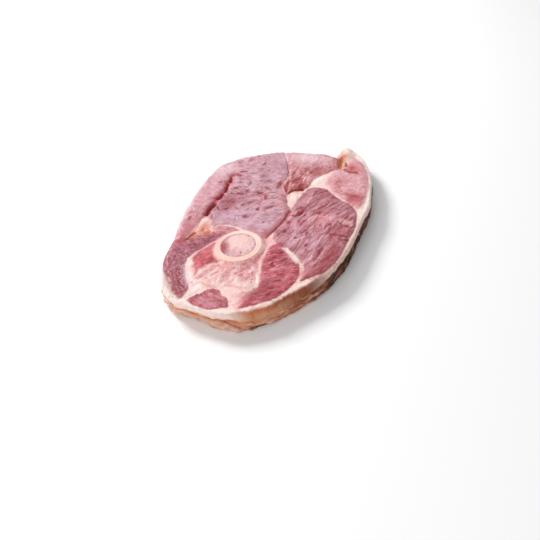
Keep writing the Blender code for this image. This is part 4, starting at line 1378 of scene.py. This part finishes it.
# %% Bone and marrow finishes
def bone_finish():
    """Sawn ivory bone."""
    finish = Finish("sawn_bone")
    scratches = finish.noise(finish.place((0.4, 3.0, 1.0)), 300, 3)
    pores = finish.noise(finish.place(), 1600, 2)
    base = finish.dimmed(finish.kept("Tone", "Color"), finish.ranged(pores, 0.94, 1.04))
    finish.surface(base, finish.ranged(scratches, 0.45, 0.62))
    finish.bumped([scratches, pores], 0.00015, 0.5)
    finish.shader.inputs["Subsurface Weight"].default_value = 0.1
    finish.shader.inputs["Subsurface Scale"].default_value = 0.001
    print("bone finish:", len(finish.nodes), "nodes")
    return finish.material


def marrow_finish():
    """Soft moist marrow."""
    finish = Finish("soft_marrow")
    pulp = finish.noise(finish.place(), 500, 4)
    grains = finish.noise(finish.place(), 1800, 2)
    base = finish.dimmed(finish.kept("Tone", "Color"), finish.ranged(pulp, 0.95, 1.05))
    finish.surface(base, finish.ranged(grains, 0.35, 0.5))
    finish.bumped([pulp, grains], 0.0002, 0.5)
    finish.shader.inputs["Subsurface Weight"].default_value = 0.2
    finish.shader.inputs["Subsurface Scale"].default_value = 0.0015
    print("marrow finish:", len(finish.nodes), "nodes")
    return finish.material


# %% [markdown]
# ## The lean
# Its outline is the bare edge followed by the seam with the fat, with a hole for the bone. The bare
# side is covered by a thin skin that dulls the lean below it. Near the top the skin takes up the
# colours of the edge above, evened out along the side so that no upright stripes hang from them.

# %% Sides of the lean
BARE_DEPTHS = np.linspace(0.08, 1.0, 12)
BARE_BULGE = 0.25
BARE_TUCK = 2.0
TUCK_FROM = 0.35
SPREAD_POINTS = 7
BOX_MARGIN = 0.1


def bare_profile(depth):
    """How far the bare side stands out of the outline at a depth."""
    tucked = (max(0, depth - TUCK_FROM) / (1 - TUCK_FROM)) ** 1.5
    return BARE_BULGE * math.sin(math.pi * min(1, depth * 2)) - BARE_TUCK * tucked


def straight_wall(loop):
    """A side wall with no rings between its edges."""
    return [loop], [1.0]


def bare_side(plan, depth, run, edge):
    """Skin over the lean: paler and duller downwards, in soft level layers."""
    lower = np.full(len(run), depth)
    layers = rough(run / 9, 5 * lower + 0.6 * hills(run / 6, lower, 82), 81)
    patches = rough(run / 8, 1.5 * lower, 83)
    skin = blend(MAUVE_DEEP, MAUVE_PALE, soft_step(-0.8, 0.5, patches))
    skin = blend(skin, FADED, 0.6 * soft_step(0.0, 0.7, layers))
    skin = blend(skin, RED, 0.4 * soft_step(0.1, 0.8, -layers - 0.4 * patches))
    around = range(-SPREAD_POINTS, SPREAD_POINTS + 1)
    spread = sum(np.roll(edge, k, axis=0) for k in around) / len(around)
    top = blend(edge, spread, min(1, 8 * depth))
    return blend(top, skin, np.clip(2.6 * lower + 0.35 * rough(run / 4, 6 * lower, 84), 0, 1))


def room_outside(loop, normals):
    """How far each point of a loop can move outwards before it leaves the solids' box."""
    low, high = [1000 * np.array(corner[:2]) + PLAN_MIDDLE for corner in SOLID_BOX]
    reach = np.where(normals > 0, high - BOX_MARGIN - loop, low + BOX_MARGIN - loop)
    facing = np.abs(normals) > 0.2
    return np.where(facing, reach / np.where(facing, normals, 1), 9).min(axis=1)


print("the bare side is tucked in by", BARE_TUCK, "mm at its foot")

# %% [markdown]
# ## Making the lean
# Each ring of the side wall is the outline, moved along its own outward directions. Extra rows of
# points follow the bare edge closely, because the face curves down most there.

# %% Make the lean
def make_lean():
    """The lean, with every muscle, the crack, the creases and the pits in its face."""
    loop = np.vstack([BARE[:-1], SEAM[:-1]])
    bare = np.concatenate([np.ones(len(BARE) - 1), np.zeros(len(SEAM) - 1)])
    bare *= soft_step(0, 3, distance(loop, SEAM))
    normals = outward(loop)
    slope = foot_slope(loop)
    room = room_outside(loop, normals)
    rings = []
    for depth in BARE_DEPTHS:
        wave = 0.35 * rough(loop[:, 0] / 9, loop[:, 1] / 9 + depth, 86)
        swing = bare * np.minimum(bare_profile(depth) + wave * depth, room) - slope * depth
        rings.append(loop + normals * swing[:, None])
    rows = [(loop - normals * inset)[: len(BARE)] for inset in (0.07, 0.28, 0.62)]
    hole = ellipse(BONE_CENTRE, BONE_RADII, BONE_TURN, 0.6, clockwise=True)
    return slab("lean_slice", [loop, hole], cut_face, [(rings, BARE_DEPTHS), straight_wall(hole)],
                bare_side, LEAN_STEP, rows)


lean = make_lean()
lean.data.materials.append(lean_finish())
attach(lean, "root")
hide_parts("lean")

# %% [markdown]
# ## The outer fat
# From outside, the band of fat is a rounded cream lip over a hollow that is painted darker as shade:
# orange round the bone end, rust along the front and brown on the far half. Round the bone end a fold
# runs along the wall, with tan lobes below it, and a split at the foot with a white kernel of fat
# beside it; the fold's crease and the split are painted dark as shade. Long folds slant along the
# front, painted paler where they stand out and rust where they sink, as highlight and shade. On the
# far half the band is thin, and dried brown skin with tan patches covers it; its brown is partly that
# skin and partly painted shade. Two lines, the end of the lip and the fold, say where lip, hollow and
# lobes lie, for the shape and for the colours alike.

# %% Lines and folds on the outer fat
FAT_DEPTHS = np.linspace(0.04, 1.0, 26)
THINNEST_FAT = 1.0
SLANT = 14
SPLIT_X, SPLIT_DOWN = -80.5, 0.86
KERNEL_X, KERNEL_DOWN = -77.6, 0.62


def wall_lines(plan, run):
    """How far down the lip ends, and how far down the fold below it runs."""
    x, y = plan.T
    level = 0 * run + 0.4
    lip = 0.28 * soft_step(-18, -2, y) + 0.1 * soft_step(-50, -36, x)
    lip = lip + 0.05 * hills(run / 14, level, 101) + 0.03 * hills(run / 5, level, 102)
    lip = lip + 0.05 * soft_step(-50, -30, x) * rough(run / 3, level, 122)
    fold = 0.36 + 0.6 * soft_step(-2, -26, y) + 0.4 * soft_step(-82, -74, x) * soft_step(0, -10, y)
    fold = fold + 0.05 * hills(run / 9, level, 109) + 0.03 * hills(run / 3.4, level, 110)
    return lip, fold


def split_and_kernel(plan, lower):
    """A split where the fold meets the foot, and a white kernel of fat beside it."""
    x, y = plan.T
    side = soft_step(0, -10, y)
    split = side * np.exp(-(((x - SPLIT_X) / 4.6) ** 2) - ((lower - SPLIT_DOWN) / 0.17) ** 2)
    kernel = side * np.exp(-(((x - KERNEL_X) / 1.2) ** 2) - ((lower - KERNEL_DOWN) / 0.08) ** 2)
    return split, kernel


def slanting_folds(plan, run, lower):
    """Long slanting folds on the front of the band."""
    x, y = plan.T
    front = soft_step(-92, -84, x) * soft_step(-30, -54, x) * soft_step(-2, -12, y)
    return front * rough(run / 13 + 1.6 * lower, 3.4 * lower - run / 20, 125)


print("rings down the outside of the fat:", len(FAT_DEPTHS))

# %% [markdown]
# ## Shape and colours of the outer fat
# The shape is a sum of simple parts: a hollow below the lip, a lobe below the fold, a crease along
# it, slanting folds, dents and a tuck at the foot. The colours are mixed from the same two lines, so
# that the hollows, the crease and the split carry painted shade, and the slanting folds a painted
# highlight where they stand out.

# %% Shape and colours of the outer fat
def fat_swing(plan, run, depth):
    """How far the fat stands out: a hollow below the lip, a lobe below the fold, dents elsewhere."""
    x, y = plan.T
    lip, fold = wall_lines(plan, run)
    lower = np.full(len(run), depth)
    near_end = soft_step(14, -6, y) * soft_step(-66, -80, x)
    hollow = (0.5 + 0.3 * hills(run / 6, lower, 104)) * np.exp(-(((lower - lip - 0.1) / 0.12) ** 2))
    hollow = hollow * soft_step(0.02, 0.1, lip)
    lobe = (1.0 + 0.8 * rough(run / 7, lower * 2, 103)) * soft_step(0.02, 0.14, lower - fold)
    crease = (0.5 + 0.3 * hills(run / 5, lower, 106)) * np.exp(-(((lower - fold) / 0.06) ** 2))
    swollen = (0.5 + 0.4 * rough(run / 9, lower, 108)) * soft_step(0.4, 0.85, lower)
    slanting = run + SLANT * lower
    dents = 1.1 * rough(slanting / 7, lower * 1.3, 105) + 0.5 * rough(slanting / 2.8, lower * 2.4, 107)
    body = near_end * lobe + (1 - near_end) * swollen - hollow * soft_step(34, 0, x) - crease
    body = body + (1 - 0.4 * near_end) * dents * soft_step(0, 0.25, lower)
    split, kernel = split_and_kernel(plan, lower)
    body = body + 0.9 * kernel - 1.4 * split
    body = body + 0.7 * slanting_folds(plan, run, lower) * soft_step(0, 0.3, lower)
    tuck = soft_step(0.8 + 0.12 * hills(run / 4, lower, 118), 1.0, lower)
    return 0.1 + body - (1.4 + 0.5 * hills(run / 6, lower, 119)) * tuck


def fat_side(plan, depth, run, edge):
    """A cream lip, painted shade in the hollow below it, tan lobes and, on the far half, brown that is
    partly dried skin and partly painted shade.
    """
    x, y = plan.T
    lip, fold = wall_lines(plan, run)
    lower = np.full(len(run), depth)
    slanting = run + SLANT * lower
    patches = rough(run / 10, lower * 1.5, 111)
    streaks = rough(slanting / 5, lower * 2.6, 113) + 0.2 * hills(slanting / 2, lower * 5, 121)
    layers = rough(run / 9 + 3 * lower, lower * 4, 115)
    lobe = blend(TAN, CREAM_PINK, 0.9 * soft_step(-0.5, 0.5, patches + 0.4 * streaks))
    lobe = blend(lobe, ORANGE, 0.4 * soft_step(0.1, 0.8, layers))
    body = side_body(plan, patches, streaks)
    # Painted highlight: paler tan near the foot of the front wall.
    body = blend(body, TAN, 0.4 * soft_step(0.6, 0.95, lower + 0.1 * streaks) * soft_step(-38, -52, x))
    # Painted shade in the hollow below the lip.
    hollow = soft_step(0.02, 0.1, lip) * np.exp(-(((lower - lip - 0.1) / 0.16) ** 2))
    body = blend(body, lip_hollow_shade(plan), (0.85 + 0.15 * streaks) * hollow)
    colour = blend(body, lobe, soft_step(0.0, 0.08, lower - fold))
    # Painted shade in the crease along the fold.
    fold_crease_shade = blend(ORANGE, RUST, soft_step(8, -10, y))
    colour = blend(colour, fold_crease_shade, 0.85 * np.exp(-(((lower - fold) / 0.05) ** 2)))
    lumps = rough(run / 8, lower * 1.4, 116) + 0.4 * rough(run / 2.4, lower * 3, 117)
    tan_patches = soft_step(0.0, 0.9, lumps + 0.25 - 1.4 * lower)
    colour = blend(colour, TAN, 0.65 * soft_step(-20, 0, x) * tan_patches)
    folds = slanting_folds(plan, run, lower)
    # Painted highlight where the slanting folds stand out, painted shade where they sink.
    colour = blend(colour, PEACH, 0.7 * soft_step(0.0, 0.6, folds))
    colour = blend(colour, RUST, 0.35 * soft_step(0.0, 0.6, -folds))
    split, kernel = split_and_kernel(plan, lower)
    # Painted shade in the split at the foot; the kernel beside it is white fat.
    colour = blend(blend(colour, BROWN, 0.95 * split), CREAM, kernel)
    rim = blend(edge, PEACH, 0.65 * soft_step(0, 0.25, lower))
    rim = blend(rim, ORANGE, 0.3 * soft_step(0.1, 0.7, layers) * soft_step(0.02, 0.2, lower))
    return blend(rim, colour, soft_step(-0.04, 0.04, lower - lip) * soft_step(0, 0.03, lower))


at_rim, at_fold = wall_lines(np.array([[-90.0, -10.0]]), np.zeros(1))
print("at the bone end the lip takes", round(float(at_rim[0]), 2), "of the wall's height,",
      "and the fold runs at", round(float(at_fold[0]), 2))

# %% [markdown]
# ## Making the outer fat
# The outside may swing in and out only where the band is thick enough, and never beyond the solids'
# box. The inner side stays on the seam with the lean, so that no gap opens between the two.

# %% Make the fat
def make_fat():
    """The band of outer fat, out to the raised nub."""
    outer, inner = RIND[1:-1], SEAM[1:]
    loop = np.vstack([outer, inner[::-1]])
    thickness = np.clip((distance(outer, SEAM) - THINNEST_FAT) / 1.6, 0, 1)
    free = np.concatenate([thickness, np.zeros(len(inner))])
    slope = foot_slope(loop) * np.repeat([1, -1], [len(outer), len(inner)])
    run = run_along(loop)
    normals = outward(loop)
    room = room_outside(loop, normals)
    rings = []
    for depth in FAT_DEPTHS:
        swing = free * np.minimum(fat_swing(loop, run, depth), room) - slope * depth
        rings.append(loop + normals * swing[:, None])
    rows = [(loop - normals * inset)[: len(outer)] for inset in (0.07, 0.25, 0.55)]
    return slab("fat_band", [loop], cut_face, [(rings, FAT_DEPTHS)], fat_side, FAT_STEP, rows)


fat = make_fat()
fat.data.materials.append(fat_finish())
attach(fat, "root")
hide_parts("outer_fat")

# %% [markdown]
# ## The bone ring
# The thigh bone is sawn flat, a little proud of the meat, with slightly rounded edges. It is a face
# like the others: flat but for the saw's faint waves, ivory, and creamier towards the far side.

# %% Make the bone
ROUND_RING_STEP = 0.5


def bone_face(plan):
    """Height and colour of the sawn ring."""
    x, y = plan.T
    away = np.minimum(distance(plan, closed_ring(BONE_RING)), distance(plan, closed_ring(MARROW_RING)))
    height = BONE_HEIGHT - 0.2 - edge_drop(away, 0.3) + 0.06 * rough(x / 2.2, y / 2.2, 121)
    face = Face(plan, height, blend(IVORY, PEACH, 0.3 * soft_step(0.0, 0.9, rough(x / 5, y / 5, 123))))
    face.tint(CREAM, 0.6 * soft_step(-34, -24, x))
    face.tint(ROSE, 0.25 * ellipse_share(plan, -37, 19, 9, 4, -10))
    face.tint(PEACH, 0.2 * soft_step(0.8, 0.1, away))
    return face


def plain_side(plan, depth, run, edge):
    """A wall in the colour of its edge."""
    return edge


bone_outer = ellipse(BONE_CENTRE, BONE_RADII, BONE_TURN, ROUND_RING_STEP)
bone_inner = ellipse(MARROW_CENTRE, MARROW_RADII, BONE_TURN, ROUND_RING_STEP, clockwise=True)
bone_rows = [ring - outward(ring) * inset for ring in (bone_outer, bone_inner) for inset in (0.1, 0.3)]
bone = slab("bone_ring", [bone_outer, bone_inner], bone_face,
            [straight_wall(bone_outer), straight_wall(bone_inner)], plain_side, ROUND_RING_STEP, bone_rows)
bone.data.materials.append(bone_finish())
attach(bone, "root")
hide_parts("bone")

# %% [markdown]
# ## The marrow
# Marrow is soft, so it swells in a low dome from just below the ring's face. Its rim is painted
# greyish, as shade under the ring's edge, and it has a bruise on one side and a few dark specks. The
# specks are drawn by the same function as the stains of the cut face.

# %% Make the marrow
MARROW_SPOTS = (
    (-33, 9.5, 7.6, 7.0, 0, 0, CREAM_PINK, 0.8), (-44, 10, 3.6, 6.5, -14, 0, MAUVE_DEEP, 0.3),
    (-39.6, 15.4, 6.0, 2.6, 14, 0, MAUVE_DEEP, 0.55), (-41.2, 15.4, 6.4, 2.4, 24, -0.1, WINE, 1.0),
    (-42.2, 11.4, 0.8, 0.6, 0, -0.1, RED_DEEP, 0.6), (-41.6, 3.8, 0.8, 0.7, 0, -0.3, BLOOD, 0.8),
    (-38.2, 0.8, 0.7, 0.4, 0, -0.2, RED_DEEP, 0.6), (-45.6, 3.4, 0.5, 0.4, 0, -0.2, RED_DEEP, 0.5),
    (-25.6, 5.6, 0.5, 0.8, 0, -0.2, RED_DEEP, 0.6), (-31.4, -1.0, 0.6, 0.4, 0, -0.2, RED_DEEP, 0.5),
    (-27.6, 1.6, 0.6, 0.5, 0, -0.2, RED_DEEP, 0.5), (-43.4, 0.6, 0.5, 0.4, 0, -0.2, RED_DEEP, 0.5),
)


def marrow_face(plan):
    """Height and colour of the marrow."""
    x, y = plan.T
    away = distance(plan, closed_ring(MARROW_RING))
    height = MARROW_HEIGHT + 0.2 + 0.4 * (1 - np.exp(-away / 2.2)) + 0.09 * rough(x / 2.5, y / 2.5, 131)
    grey = 0.31 * soft_step(-0.5, 0.7, rough(x / 2.4, y / 2.4, 133))
    face = Face(plan, height, blend(ROSE_PALE, MAUVE_DEEP, grey))
    # Painted shade: greyer mauve along the rim, under the ring's edge.
    face.tint(MAUVE_DEEP, 0.25 * soft_step(1.4, 0.2, away))
    draw_spots(face, MARROW_SPOTS)
    return face


marrow_edge = ellipse(MARROW_CENTRE, MARROW_RADII, BONE_TURN, ROUND_RING_STEP)
marrow = slab("marrow_plug", [marrow_edge], marrow_face, [straight_wall(marrow_edge)], plain_side,
              ROUND_RING_STEP)
marrow.data.materials.append(marrow_finish())
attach(marrow, "root")
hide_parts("marrow")

# %% [markdown]
# ## Floor
# The steak lies on a plain pale floor, so much larger than the steak that it fills the main view.

# %% Floor
FLOOR_HALF = 3.0
floor_mesh = bpy.data.meshes.new("floor")
corners = [(-FLOOR_HALF, -FLOOR_HALF, 0), (FLOOR_HALF, -FLOOR_HALF, 0),
           (FLOOR_HALF, FLOOR_HALF, 0), (-FLOOR_HALF, FLOOR_HALF, 0)]
floor_mesh.from_pydata(corners, [], [(0, 1, 2, 3)])
floor = bpy.data.objects.new("floor", floor_mesh)
bpy.context.scene.collection.objects.link(floor)
floor_finish = Finish("pale_floor")
floor_finish.shader.inputs["Base Color"].default_value = (0.92, 0.92, 0.92, 1)
floor_finish.shader.inputs["Roughness"].default_value = 0.9
floor_mesh.materials.append(floor_finish.material)
print("floor:", 2 * FLOOR_HALF, "m square")

# %% [markdown]
# ## Lights
# Fibres and folds show best in light that skims them. So the strongest light stands beyond the
# steak on the left, a weak one stands straight behind it, and a large one fills the near side. The
# even light of the world keeps the shadows open.

# %% Lights
def area_light(name, place, size, watts, target=(0, 0, 0.01)):
    """A square soft light that faces the steak."""
    data = bpy.data.lights.new(name, "AREA")
    data.size = size
    data.energy = watts
    light = bpy.data.objects.new(name, data)
    light.location = place
    light.rotation_euler = (Vector(target) - Vector(place)).to_track_quat("-Z", "Y").to_euler()
    bpy.context.scene.collection.objects.link(light)
    print(name, "light:", watts, "W")


area_light("key", (0.25, 0.72, 0.6), 0.3, 8.9)
area_light("back", (0.85, 0.4, 0.7), 0.5, 2.4)
area_light("fill", (-0.85, 0.05, 0.6), 0.7, 4.4)
world = bpy.data.worlds.new("studio")
world.use_nodes = True
world.node_tree.nodes["Background"].inputs["Color"].default_value = (1, 1, 1, 1)
world.node_tree.nodes["Background"].inputs["Strength"].default_value = 0.34
bpy.context.scene.world = world
bpy.context.scene.view_settings.view_transform = "Standard"

# %% [markdown]
# ## Camera
# The camera looks down at 41 degrees from beyond the bone end. Its lens follows from the focal
# length in pixels, because a lens is stated for a sensor of a given width.

# %% Camera
CAMERA_PLAN = (-328.2, -125.6)
CAMERA_HEIGHT = 273.9
PITCH = 41.0
AIM_X, AIM_Y = 0.932, 0.3624
HEADING = math.degrees(math.atan2(AIM_Y, AIM_X))
FOCAL_PIXELS, FRAME_PIXELS, SENSOR = 700, 540, 36

camera_data = bpy.data.cameras.new("camera")
camera_data.sensor_width = SENSOR
camera_data.lens = SENSOR * FOCAL_PIXELS / FRAME_PIXELS
camera_data.clip_start = 0.01
camera = bpy.data.objects.new("camera", camera_data)
camera.location = ((CAMERA_PLAN[0] - PLAN_MIDDLE[0]) * MM, (CAMERA_PLAN[1] - PLAN_MIDDLE[1]) * MM,
                   CAMERA_HEIGHT * MM)
camera.rotation_euler = (math.radians(90 - PITCH), 0, math.radians(HEADING - 90))
bpy.context.scene.collection.objects.link(camera)
bpy.context.scene.camera = camera
print("camera lens", round(camera_data.lens, 2), "mm")

# %% [markdown]
# ## The solids' box
# The finished steak has to stay inside the solids' box.
